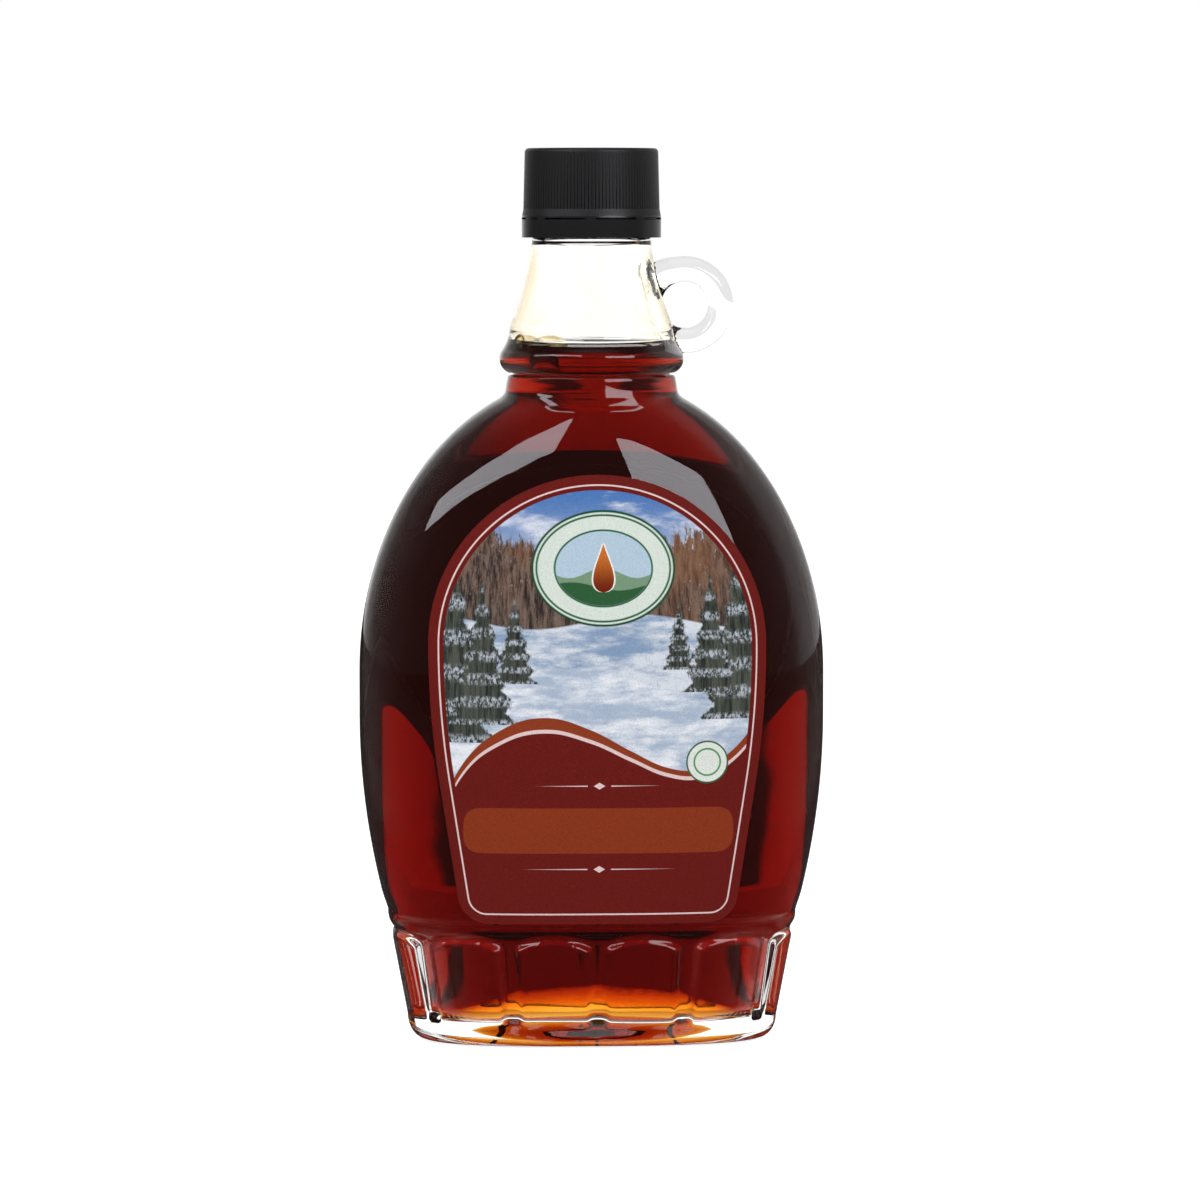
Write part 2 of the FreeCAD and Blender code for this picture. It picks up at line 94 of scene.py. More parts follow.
def flaskSide(height, inset, footInset):
    # half width, half depth and roundness of the level outline at a height
    f = flask
    width, depth, roundness = f["halfWidth"] - inset, f["halfDepth"] - inset, f["roundness"]
    waistWidth, waistDepth = f["waistHalfWidth"] - inset, f["waistHalfDepth"] - inset
    if height < f["waist"]:
        share = (height - f["heelHeight"]) / (f["waist"] - f["heelHeight"])
        footWidth, footDepth = f["footHalfWidth"] - footInset, f["footHalfDepth"] - footInset
        width = footWidth + (waistWidth - footWidth) * share
        depth = footDepth + (waistDepth - footDepth) * share
        return width, depth, f["footRoundness"]
    collar = f["collarRadius"] if inset <= 0 else f["innerCollarRadius"]
    topRadius = collar - f["neckOverlap"]
    rise = f["shoulderRise"] - inset
    top = f["bellyTop"] + rise * math.sqrt(1 - (topRadius / width) ** 2)
    depthRise = (top - f["bellyBottom"]) / math.sqrt(1 - (topRadius / depth) ** 2)
    if height < f["bellyBottom"]:
        share = ((f["bellyBottom"] - height) / (f["bellyBottom"] - f["waist"])) ** 2
        width -= (width - waistWidth) * share
        depth -= (depth - waistDepth) * share
        roundness += (f["footRoundness"] - roundness) * share
    else:
        depth *= math.sqrt(1 - ((height - f["bellyBottom"]) / depthRise) ** 2)
        share = min(1, (height - f["bellyBottom"]) / (top - f["bellyBottom"])) ** 2
        roundness += (2 - roundness) * share
    if height > f["bellyTop"]:
        left = 1 - min(0.9999, (height - f["bellyTop"]) / rise) ** 2
        width *= math.sqrt(left)
    return width, depth, roundness


def smoothMax(a, b, blend):
    near = max(0.0, blend - abs(a - b)) / blend
    return max(a, b) + near * near * blend / 4


def smoothStep(low, high, value):
    share = min(1.0, max(0.0, (value - low) / (high - low)))
    return share * share * (3 - 2 * share)


def turns(columns):
    return [2 * math.pi * i / columns for i in range(columns)]


def levelRing(height, outline, columns, inset=0.0):
    # ring of points on a level superellipse, drawn in by an inset
    width, depth, roundness = outline
    width, depth = width - inset, depth - inset
    ring = []
    for u in turns(columns):
        theta = math.atan2(depth * math.sin(u), width * math.cos(u))
        r = superRadius(theta, width, depth, roundness)
        ring.append(Vector((r * math.cos(theta), r * math.sin(theta), height)))
    return ring


def roundRing(radius, height, columns):
    return [Vector((radius * math.cos(u), radius * math.sin(u), height)) for u in turns(columns)]


def blendedRing(height, radius, outline, columns, blend):
    # ring round both the shoulder's outline and the round neck inside it
    width, depth, roundness = outline
    ratioWidth, ratioDepth = max(width, radius), max(depth, radius)
    ring = []
    for u in turns(columns):
        theta = math.atan2(ratioDepth * math.sin(u), ratioWidth * math.cos(u))
        r = smoothMax(superRadius(theta, width, depth, roundness), radius, blend)
        ring.append(Vector((r * math.cos(theta), r * math.sin(theta), height)))
    return ring


def arcPoints(centre, radius, startDegrees, endDegrees, steps):
    points = []
    for i in range(steps + 1):
        a = math.radians(startDegrees + (endDegrees - startDegrees) * i / steps)
        points.append((centre[0] + radius * math.cos(a), centre[1] + radius * math.sin(a)))
    return points


def bentLine(start, end, bulge, steps):
    # points from start to end on an arc that stands bulge to the right of the way there
    (r0, z0), (r1, z1) = start, end
    length = math.hypot(r1 - r0, z1 - z0)
    across = ((z1 - z0) / length, -(r1 - r0) / length)
    points = []
    for i in range(steps + 1):
        t = i / steps
        push = 4 * bulge * t * (1 - t)
        points.append((r0 + (r1 - r0) * t + across[0] * push, z0 + (z1 - z0) * t + across[1] * push))
    return points


def softened(points, radius):
    # the same line with each corner cut back into a short curve
    out = [points[0]]
    for before, here, after in zip(points, points[1:], points[2:]):
        a = Vector(here) - Vector(before)
        b = Vector(after) - Vector(here)
        if a.length < 1e-7 or b.length < 1e-7:
            continue
        if a.angle(b) < math.radians(14):
            out.append(here)
            continue
        cut = min(radius, a.length * 0.45, b.length * 0.45)
        first = Vector(here) - a.normalized() * cut
        last = Vector(here) + b.normalized() * cut
        for t in (0, 0.25, 0.5, 0.75, 1):
            p = first * (1 - t) ** 2 + Vector(here) * 2 * t * (1 - t) + last * t * t
            out.append((p.x, p.y))
    out.append(points[-1])
    return out


def newObject(name, bm):
    mesh = bpy.data.meshes.new(name)
    bm.to_mesh(mesh)
    bm.free()
    for polygon in mesh.polygons:
        polygon.use_smooth = True
    obj = bpy.data.objects.new(name, mesh)
    bpy.context.scene.collection.objects.link(obj)
    return obj


def skin(name, rings, slots=None):
    # closed skin over rings from pole to pole; neighbours have as many points, or half or twice
    bm = bmesh.new()
    rows = [[bm.verts.new(p) for p in ring] for ring in rings]
    for k, (low, high) in enumerate(zip(rows, rows[1:])):
        slot = slots[k] if slots else 0
        faces = []
        if len(low) == len(high):
            for i in range(len(low)):
                j = (i + 1) % len(low)
                faces.append((low[i], low[j], high[j], high[i]))
        elif len(low) > len(high):
            for i in range(len(high)):
                a, b, c = low[2 * i], low[2 * i + 1], low[(2 * i + 2) % len(low)]
                faces.append((a, b, high[i]))
                faces.append((b, c, high[(i + 1) % len(high)], high[i]))
        else:
            for i in range(len(low)):
                a, b, c = high[2 * i], high[2 * i + 1], high[(2 * i + 2) % len(high)]
                faces.append((b, a, low[i]))
                faces.append((low[i], low[(i + 1) % len(low)], c, b))
        for corners in faces:
            bm.faces.new(corners).material_index = slot
    for row, flip, slot in ((rows[0], True, 0), (rows[-1], False, slots[-1] if slots else 0)):
        middle = Vector((0, 0, 0))
        for v in row:
            middle += v.co / len(row)
        pole = bm.verts.new(middle)
        for i in range(len(row)):
            a, b = row[i], row[(i + 1) % len(row)]
            corners = (b, a, pole) if flip else (a, b, pole)
            bm.faces.new(corners).material_index = slot
    return newObject(name, bm)


glassLook = {
    "footColumns": 480,
    "columns": 240,
    "archCount": 12,
    "archHalfWidth": 8.5 * mm,
    "archCrown": 25.6 * mm,
    "archRise": 3.9 * mm,
    "archTopBevel": 2.3 * mm,
    "archSideBevel": 1.2 * mm,
    "archSoftness": 0.4,
    "sideStep": 0.45 * mm,
    "valleyTop": 1.7 * mm,
    "valleyFoot": 0.7 * mm,
    "valleyStart": 0.6 * mm,
    "valleyFull": 4.6 * mm,
    "valleyFootFade": 3 * mm,
    "beadHeight": 1.1 * mm,
    "beadStep": 0.28 * mm,
    "stippleCount": 72,
    "stippleDepth": 0.35 * mm,
    "bearing": 5 * mm,
    "pushUp": 5 * mm,
    "floor": 5.6 * mm,
    "floorRadius": 3.6 * mm,
    "floorRise": 7 * mm,
    "floorRim": 2 * mm,
    "insideStep": 0.9 * mm,
    "wave": 0.22 * mm,
    # waves round the wall, their start, their length up the wall and its start
    "slowWave": (3, 1.3, 9 * mm, 0.6),
    "quickWave": (7, 0.4, 5.5 * mm, 2.1),
    "waveFrom": 70 * mm,
    "waveFull": 15 * mm,
    "waveCalm": (40 * mm, 24 * mm),
    "ior": 1.52,
    "ripple": 0.12 * mm,
}


def footLengths(columns):
    # share of the foot's way round at each column
    middle = (flask["heelHeight"] + glassLook["archCrown"]) / 2
    ring = levelRing(middle, flaskSide(middle, 0, 0), columns)
    lengths = [0.0]
    for a, b in zip(ring, ring[1:] + ring[:1]):
        lengths.append(lengths[-1] + (b - a).length)
    return [x / lengths[-1] for x in lengths[:-1]], lengths[-1]


def archSink(share, around, height):
    # how far the valleys round the raised panels draw in the foot's side at a place
    g, f = glassLook, flask
    pitch = around / g["archCount"]
    along = abs((share * g["archCount"]) % 1 - 0.5) * pitch
    half = g["archHalfWidth"]
    top = g["archCrown"] - g["archRise"]
    if along < half:
        top = g["archCrown"] - g["archRise"] * (1 - math.sqrt(1 - (along / half) ** 2))
    sides = (half - along) / g["archSideBevel"]
    head = (top - height) / g["archTopBevel"]
    panel = min(1.0, max(0.0, min(sides, head)))
    panel += (smoothStep(0, 1, panel) - panel) * g["archSoftness"]
    down = (f["waist"] - height) / (f["waist"] - f["heelHeight"])
    valley = g["valleyTop"] + (g["valleyFoot"] - g["valleyTop"]) * down
    valley *= smoothStep(f["waist"] - g["valleyStart"], f["waist"] - g["valleyFull"], height)
    valley *= smoothStep(f["heelHeight"], f["heelHeight"] + g["valleyFootFade"], height)
    return valley * (1 - panel)


def footRings():
    # push-up, stippled bearing ring, heel and arcaded side, from the middle of the underside out and up
    g, f = glassLook, flask
    columns = g["footColumns"]
    shares, around = footLengths(columns)
    rings = []
    bottom = flaskSide(f["heelHeight"], 0, 0)
    pushWidth = bottom[0] - f["heelInset"] - g["bearing"]
    pushDepth = bottom[1] - f["heelInset"] - g["bearing"]
    for i in range(1, 10):
        turn = math.pi / 2 * i / 10
        spread = math.sin(turn)
        outline = (pushWidth * spread, pushDepth * spread, 2)
        rings.append(levelRing(g["pushUp"] * math.cos(turn), outline, columns // 4))
    rings.append(levelRing(g["stippleDepth"], (pushWidth, pushDepth, 2.3), columns // 2))
    for inset in (g["bearing"] * 0.55, g["bearing"] * 0.35, g["bearing"] * 0.15):
        outline = (bottom[0] - f["heelInset"] - inset, bottom[1] - f["heelInset"] - inset, 2.7)
        ring = levelRing(g["stippleDepth"], outline, columns)
        for p, share in zip(ring, shares):
            crest = max(0.0, math.cos(2 * math.pi * share * g["stippleCount"])) ** 1.5
            edge = 1 - abs(inset / g["bearing"] - 0.35) / 0.4
            p.z = g["stippleDepth"] * (1 - crest * edge)
        rings.append(ring)
    for i in range(9):  # heel, a quarter round
        turn = math.pi / 2 * (1 - i / 8)
        inset = f["heelInset"] * (1 - math.cos(turn))
        height = f["heelHeight"] * (1 - math.sin(turn)) + g["stippleDepth"] * (1 - i / 8)
        rings.append(levelRing(height, bottom, columns, inset))
    height = f["heelHeight"] + g["sideStep"]
    while height < f["waist"] - 0.2 * mm:  # arcaded side
        ring = levelRing(height, flaskSide(height, 0, 0), columns)
        for p, share in zip(ring, shares):
            out = Vector((p.x / f["footHalfWidth"] ** 2, p.y / f["footHalfDepth"] ** 2, 0)).normalized()
            p -= out * archSink(share, around, height)
        rings.append(ring)
        height += g["sideStep"]
    return rings


def bodyRings():
    # ledge, belly, shoulders and the start of the collar
    g, f = glassLook, flask
    columns = g["columns"]
    rings = [levelRing(f["waist"] - 0.1 * mm, flaskSide(f["waist"], 0, 0), columns, 0.06 * mm)]
    for rise in (0.0, 0.12, 0.3, 0.5, 0.7, 0.88, 1.0, 1.2, 1.6, 2.4, 3.5, 5.0):  # bead over the foot
        height = f["waist"] + rise * g["beadHeight"]
        step = g["beadStep"] * (min(1.0, rise) if rise < 1 else smoothStep(5.0, 1.0, rise))
        rings.append(levelRing(height, flaskSide(height, 0, 0), columns, step))
    start = f["waist"] + 5.6 * g["beadHeight"]
    for i in range(24):
        height = start + (f["bellyTop"] - start) * i / 23
        rings.append(levelRing(height, flaskSide(height, 0, 0), columns))
    rise = f["shoulderRise"]
    reach = math.asin((f["shoulderTop"] - f["bellyTop"]) / rise)
    for i in range(1, 35):
        height = f["bellyTop"] + rise * math.sin(reach * i / 34)
        rings.append(levelRing(height, flaskSide(height, 0, 0), columns))
    height = f["shoulderTop"] + f["blendStep"]
    while height < f["collarTop"]:
        collar = f["collarRadius"] - f["collarTaper"] * max(0.0, height - f["taperStart"])
        outline = flaskSide(height, 0, 0)
        rings.append(blendedRing(height, collar, outline, columns, f["shoulderBlend"]))
        height += f["blendStep"]
    return rings


neckLook = {
    # places are radius and height in millimetres, from the collar up and then down the bore
    "collarEdge": [(18.81, 146.6), (18.6, 147.75), (17.4, 147.85), (17.4, 148.4)],
    "beadCentre": (17.15, 151.4),
    "beadRadius": 3.35,
    "beadFrom": -68,
    "beadTo": 38,
    "coneFoot": (18.15, 158.7),
    "coneTop": (13.2, 178.3),
    "footBulge": -0.38,
    "coneBulge": -0.85,
    "lockBead": [(13.25, 178.5), (14.0, 179.0), (14.0, 179.9), (12.6, 181.3)],
    "finish": [(12.6, 186), (12.6, 190), (12.6, 195.5)],
    "lip": [(12.4, 196.0), (11.9, 196.25), (11.0, 196.28), (10.4, 196.15)],
    "outerSoftness": 0.5,
    "mouth": [(10.2, 195.7), (10.2, 190), (10.2, 185), (10.2, 180.1)],
    "boreTop": (10.3, 179.6),
    "boreFoot": (15.5, 158.6),
    "boreShoulder": (16.6, 154.5),
    "boreBulge": 0.9,
    "shoulderBulge": -0.1,
    "boreCollar": [(16.7, 151), (16.7, 148), (16.7, 145)],
    "innerSoftness": 0.8,
}


def neckLine():
    # outer line of the neck from the collar up
    n = neckLook
    line = list(n["collarEdge"])
    line += arcPoints(n["beadCentre"], n["beadRadius"], n["beadFrom"], n["beadTo"], 14)
    line += bentLine(line[-1], n["coneFoot"], n["footBulge"], 8)[1:]
    line += bentLine(n["coneFoot"], n["coneTop"], n["coneBulge"], 22)[1:]
    line += n["lockBead"] + n["finish"] + n["lip"]
    return [(r * mm, z * mm) for r, z in softened(line, n["outerSoftness"])]


def boreLine():
    # inner line of the neck from the lip down
    n = neckLook
    line = list(n["mouth"])
    line += bentLine(n["boreTop"], n["boreFoot"], n["boreBulge"], 20)
    line += bentLine(n["boreFoot"], n["boreShoulder"], n["shoulderBulge"], 5)[1:]
    line += n["boreCollar"]
    return [(r * mm, z * mm) for r, z in softened(line, n["innerSoftness"])]


def wave(theta, height):
    # the slow unevenness that pressing leaves in the wall
    g = glassLook
    push = 0
    for (count, start, length, lift), share in ((g["slowWave"], 1), (g["quickWave"], 0.5)):
        push += share * math.sin(count * theta + start) * math.sin(height / length + lift)
    return g["wave"] * push * smoothStep(g["waveFrom"], g["waveFull"], height)


def insideRings(reach, columns):
    # rings of the hollow from the collar down to the floor, moved out into the wall by reach
    g, f = glassLook, flask
    rings = []
    height = f["innerCollarTop"]
    while height > f["innerBlendFoot"]:
        outline = flaskSide(height, f["wall"] - reach, 0)
        collar = f["innerCollarRadius"] + reach
        rings.append(blendedRing(height, collar, outline, columns, f["innerBlend"]))
        height -= f["innerBlendStep"]
    rise = f["shoulderRise"] - f["wall"]
    start = math.asin((f["innerShoulderTop"] - f["bellyTop"]) / rise)
    heights = [f["bellyTop"] + rise * math.sin(start * (1 - i / 22)) for i in range(23)]
    heights += [f["bellyTop"] - (f["bellyTop"] - f["waist"]) * i / 18 for i in range(1, 19)]
    for height in heights:
        outline = flaskSide(height + 1e-9, f["wall"] - reach, 0)
        rings.append(levelRing(height, outline, columns))
    ledge = f["waist"] - 1.5 * f["ledgeDrop"]
    floorSide = g["floor"] + g["floorRadius"]
    stepIn = f["footWall"] - f["wall"]
    height = f["waist"] - 0.8 * mm
    while height > floorSide:
        outline = flaskSide(height, f["wall"], f["footWall"])
        inset = stepIn * smoothStep(f["waist"], ledge, height) if height > ledge else stepIn
        inset *= 1 if height > ledge else smoothStep(f["heelHeight"], ledge, height)
        width, depth, roundness = outline
        width -= f["footEndWall"] * smoothStep(f["waist"], f["waist"] - f["footEndBlend"], height)
        rings.append(levelRing(height, (width, depth, roundness), columns, inset - reach))
        height -= g["insideStep"]
    width, depth, roundness = flaskSide(floorSide, f["wall"], f["footWall"])
    outline = (width - f["footEndWall"], depth, roundness)
    for i in range(1, 9):  # rounded edge of the floor
        turn = math.pi / 2 * i / 8
        inset = g["floorRadius"] * (1 - math.cos(turn)) - reach * math.cos(turn)
        height = floorSide - g["floorRadius"] * math.sin(turn) - reach * math.sin(turn)
        rings.append(levelRing(height, outline, columns, inset))
    domeWidth = outline[0] - g["floorRadius"] - g["floorRim"]
    domeDepth = outline[1] - g["floorRadius"] - g["floorRim"]
    for i in range(10):
        turn = math.pi / 2 * i / 10
        spread = math.cos(turn)
        height = g["floor"] - reach + g["floorRise"] * math.sin(turn) ** 1.4
        shape = (domeWidth * spread, domeDepth * spread, 2 + 0.6 * spread)
        rings.append(levelRing(height, shape, columns))
    calmX, calmY = g["waveCalm"]
    for ring in rings:
        for p in ring:
            theta = math.atan2(p.y, p.x)
            push = wave(theta, p.z) * smoothStep(0, 0.6, math.hypot(p.x / calmX, p.y / calmY))
            p.x += push * math.cos(theta)
            p.y += push * math.sin(theta)
            p.z += push * 1.2 * smoothStep(14 * mm, 6 * mm, p.z)
    return rings


loopLook = {
    "centre": (20.8 * mm, 0, 163.4 * mm),
    "ringRadius": 8 * mm,
    "barRadius": 2.8 * mm,
    "upperSwell": 0.55,
    "lowerSwell": 0.35,
    "thickening": 0.18,
    "wallFoot": 158.6 * mm,
    "wallHeight": 21 * mm,
    "wallRadius": 17 * mm,
    "wallLean": 5.2 * mm,
    "wallBelow": 17.4 * mm,
    "tuck": 0.06,
}


def loopHandle():
    # round bar bent into a ring, thickened where it runs into the neck
    h = loopLook
    bpy.ops.object.select_all(action="DESELECT")
    bpy.ops.mesh.primitive_torus_add(
        major_radius=h["ringRadius"], minor_radius=h["barRadius"], major_segments=96, minor_segments=40,
        location=h["centre"], rotation=(math.pi / 2, 0, 0),
    )
    loop = bpy.context.object
    loop.name = "loopHandle"
    bpy.ops.object.transform_apply(location=True, rotation=True, scale=True)
    centre = Vector(h["centre"])
    for v in loop.data.vertices:
        flat = Vector((v.co.x - centre.x, 0, v.co.z - centre.z))
        angle = math.degrees(math.atan2(flat.z, flat.x))
        ringPoint = centre + flat.normalized() * h["ringRadius"]
        swell = h["upperSwell"] * smoothStep(95, 150, angle) + h["lowerSwell"] * smoothStep(-85, -150, angle)
        away = v.co - ringPoint
        outer = max(0.0, away.dot(flat.normalized()) / h["barRadius"])
        v.co = ringPoint + away * (1 + swell * outer) + Vector((0, away.y * h["thickening"], 0))
        # what would stand into the bore is pressed into the wall
        rise = (v.co.z - h["wallFoot"]) / h["wallHeight"]
        wallMiddle = h["wallRadius"] - h["wallLean"] * rise ** 0.8 if rise > 0 else h["wallBelow"]
        limit = math.sqrt(max(0.0, wallMiddle ** 2 - v.co.y ** 2))
        v.co.x = max(v.co.x, limit - (limit - v.co.x) * h["tuck"])
    bpy.ops.object.shade_smooth()
    return loop


def makeGlass():
    outside = footRings() + bodyRings()
    neck = [roundRing(r, z, glassLook["columns"]) for r, z in neckLine()]
    bore = [roundRing(r, z, glassLook["columns"]) for r, z in boreLine()]
    inside = insideRings(0, glassLook["columns"])
    rings = outside + neck + bore + inside
    dry = len(outside) + len(neck)
    slots = []
    for k, ring in enumerate(rings[1:], 1):
        slots.append(1 if k > dry and ring[0].z < syrupHigh.z else 0)
    glass = skin("flaskGlass", rings, slots)
    glass.data.materials.append(clearFinish("clearFlintGlass", glassLook["ior"], 0.5, glassLook["ripple"]))
    glass.data.materials.append(clearFinish("wetGlassWall", glassLook["ior"], 0.0, 0))
    loop = loopHandle()
    loop.data.materials.append(glass.data.materials[0])
    union = glass.modifiers.new("joinLoop", "BOOLEAN")
    union.operation = "UNION"
    union.solver = "MANIFOLD"
    union.object = loop
    bpy.ops.object.select_all(action="DESELECT")
    bpy.context.view_layer.objects.active = glass
    glass.select_set(True)
    bpy.ops.object.modifier_apply(modifier="joinLoop")
    bpy.data.objects.remove(loop)
    print("glass", len(glass.data.vertices), "points")
    return glass


syrupLook = {
    "reach": 0.08 * mm,
    "climb": 1.9 * mm,
    "climbSpan": 1.6 * mm,
    "levelDrop": 0.3 * mm,
    "columns": 192,
    "collarHeights": (146 * mm, 148 * mm, 150 * mm, 151.5 * mm),
    "edgeInset": 0.1 * mm,
    "ior": 1.48,
    "density": 670.0,
    # colour and strength of a painted glow in the syrup, standing for light its haze scatters
    "hazeGlow": (1, 0.3, 0.5, 1),
    "hazeGlowStrength": 0.75,
    "tint": (0.913, 0.717, 0.24, 1),
    "filmColumns": 96,
    "filmThickness": 0.24 * mm,
    "filmReach": 0.05 * mm,
    "filmSkin": 0.015 * mm,
    "filmFoot": 0.2 * mm,
    "filmTop": 178 * mm,
    "filmFade": 8 * mm,
}


def makeSyrup():
    s = syrupLook
    rings = insideRings(s["reach"], s["columns"])[::-1]
    level = syrupHigh.z - s["levelDrop"]
    side = flask["innerCollarRadius"] + s["reach"]
    for height in s["collarHeights"]:
        rings.append(roundRing(side, height, s["columns"]))
    wallSkins = len(rings)
    edge = side - s["edgeInset"]
    top = s["climb"] / s["climbSpan"]
    for share in (1, 0.95, 0.89, 0.81, 0.72, 0.62, 0.52, 0.42, 0.32, 0.22, 0.13, 0.06, 0.02, 0.005, 0.001):
        # the curve that a liquid's surface climbs a wall by
        up = top * share
        drop = math.acosh(2 / up) - math.acosh(2 / top) + math.sqrt(4 - top ** 2) - math.sqrt(4 - up ** 2)
        rings.append(roundRing(edge - drop * s["climbSpan"], level + up * s["climbSpan"], s["columns"]))
    slots = [0 if k < wallSkins else 1 for k in range(len(rings))]
    syrup = skin("syrupFill", rings, slots)
    print("syrup", len(syrup.data.vertices), "points")
    return syrup


def makeFilm():
    # thin coat of syrup that clings to the inside of the neck
    s = syrupLook
    columns = s["filmColumns"]
    line = [p for p in boreLine() if syrupHigh.z + s["filmFoot"] < p[1] < s["filmTop"]]
    outer = [roundRing(r + s["filmReach"], z, columns) for r, z in line]
    inner = [roundRing(r - s["filmSkin"], z, columns) for r, z in line]
    for ring in inner:
        for p in ring:
            aside = smoothStep(0.5, 1.0, abs(p.x) / math.hypot(p.x, p.y))
            fade = smoothStep(s["filmTop"], s["filmTop"] - s["filmFade"], p.z)
            shrink = 1 - s["filmThickness"] * aside * fade / math.hypot(p.x, p.y)
            p.x *= shrink
            p.y *= shrink
    rings = outer + inner[::-1]
    bm = bmesh.new()
    rows = [[bm.verts.new(p) for p in ring] for ring in rings]
    for low, high in zip(rows, rows[1:] + rows[:1]):
        for i in range(columns):
            j = (i + 1) % columns
            bm.faces.new((low[i], high[i], high[j], low[j]))
    bmesh.ops.recalc_face_normals(bm, faces=bm.faces)
    print("film", len(line), "levels")
    return newObject("syrupFilm", bm)


bubbleLook = {
    # in millimetres: x, y, radius, half height, and the middle's height over the level
    "dome": (-9.4, -8.2, 3.8, 3.4, 1.1),
    # in millimetres: x, y, radius
    "froth": [
        (-14.2, -5.5, 2.5), (-11.6, -9.2, 1.7), (-15.0, -1.6, 1.6), (-11.4, -5.2, 1.5),
        (-13.0, -8.4, 1.0), (-10.2, -7.6, 1.0), (-12.4, -2.4, 1.1), (-14.9, -3.7, 0.8),
    ],
    "frothLift": 0.8,
    "skin": 0.5,
    "thickestSkin": 0.3,
    "depth": 3.2,
    "tint": (0.87, 0.79, 0.42, 1),
}


def bubble(name, x, y, radius, height, lift):
    # ball of syrup with air inside, its top standing above the level; sizes in millimetres
    centre = Vector((x * mm, y * mm, syrupHigh.z + lift * mm))
    bpy.ops.object.select_all(action="DESELECT")
    bpy.ops.mesh.primitive_uv_sphere_add(segments=48, ring_count=28, radius=radius * mm, location=centre)
    outer = bpy.context.object
    outer.name = name
    bpy.ops.object.transform_apply(location=True, rotation=True, scale=True)
    for v in outer.data.vertices:
        v.co.z = centre.z + (v.co.z - centre.z) * height / radius
    bpy.ops.object.shade_smooth()
    inner = outer.data.copy()
    hollow = 1 - min(bubbleLook["skin"] / radius, bubbleLook["thickestSkin"])
    for v in inner.vertices:
        v.co = centre + (v.co - centre) * hollow
    inner.flip_normals()
    bm = bmesh.new()
    bm.from_mesh(outer.data)
    bm.from_mesh(inner)
    bm.to_mesh(outer.data)
    bm.free()
    bpy.data.meshes.remove(inner)
    return outer


labelLook = {
    "corner": 5.5 * mm,
    "thickness": 0.14 * mm,
    "grip": 0.05 * mm,
    "columns": 128,
    "cornerRows": 10,
    "sideRows": 110,
    "headRows": 90,
    "crowding": 0.35,
    "front": {
        "halfWidth": 37.2 * mm,
        "headHeight": 89.3 * mm,
        "footHalfWidth": 29.9 * mm,
        "bottom": 28 * mm,
        "lean": math.radians(9.0),
        "waistBlend": 2.4 * mm,
        "aside": 0,
        "headFloor": False,
    },
    "back": {
        "halfWidth": 37 * mm,
        "headHeight": 89.5 * mm,
        "footHalfWidth": 24.4 * mm,
        "bottom": 28.9 * mm,
        "lean": math.radians(6.5),
        "waistBlend": 5 * mm,
        "aside": 0.9 * mm,
        "headFloor": True,
    },
}


def labelHalf(s, height):
    # half width of the label at a height
    side = s["footHalfWidth"] + (height - s["bottom"]) * math.tan(s["lean"])
    up = height - s["headHeight"]
    if up > 0:
        side = math.sqrt(max(0.0, s["halfWidth"] ** 2 - up ** 2))
    elif s["headFloor"]:  # round head on a narrower body
        side = smoothMax(side, math.sqrt(max(0.0, s["halfWidth"] ** 2 - up ** 2)), s["waistBlend"])
    else:
        side = -smoothMax(-side, -s["halfWidth"], s["waistBlend"])
    near = s["corner"] - (height - s["bottom"])
    if near > 0:
        side -= s["corner"] - math.sqrt(max(0.0, s["corner"] ** 2 - near ** 2))
    return side


def labelEdge(s, x, z):
    # distance of a place on the label from its edge
    up = z - s["headHeight"]
    if up > 0:
        return s["halfWidth"] - math.hypot(x, up)
    square = s | {"corner": 0.0}
    leaning = smoothStep(0, -25 * mm, up)
    side = (labelHalf(square, z) - abs(x)) * math.cos(s["lean"] * leaning)
    foot = z - s["bottom"]
    if side < s["corner"] and foot < s["corner"]:
        return s["corner"] - math.hypot(s["corner"] - side, s["corner"] - foot)
    return min(side, foot)


def labelPoint(x, z, side, stand):
    # place on the flask's front or back that stands off the glass
    width, depth, roundness = flaskSide(z, -stand, 0)
    y = depth * (1 - min(1.0, abs(x / width)) ** roundness) ** (1 / roundness)
    return Vector((x, side * y, z))


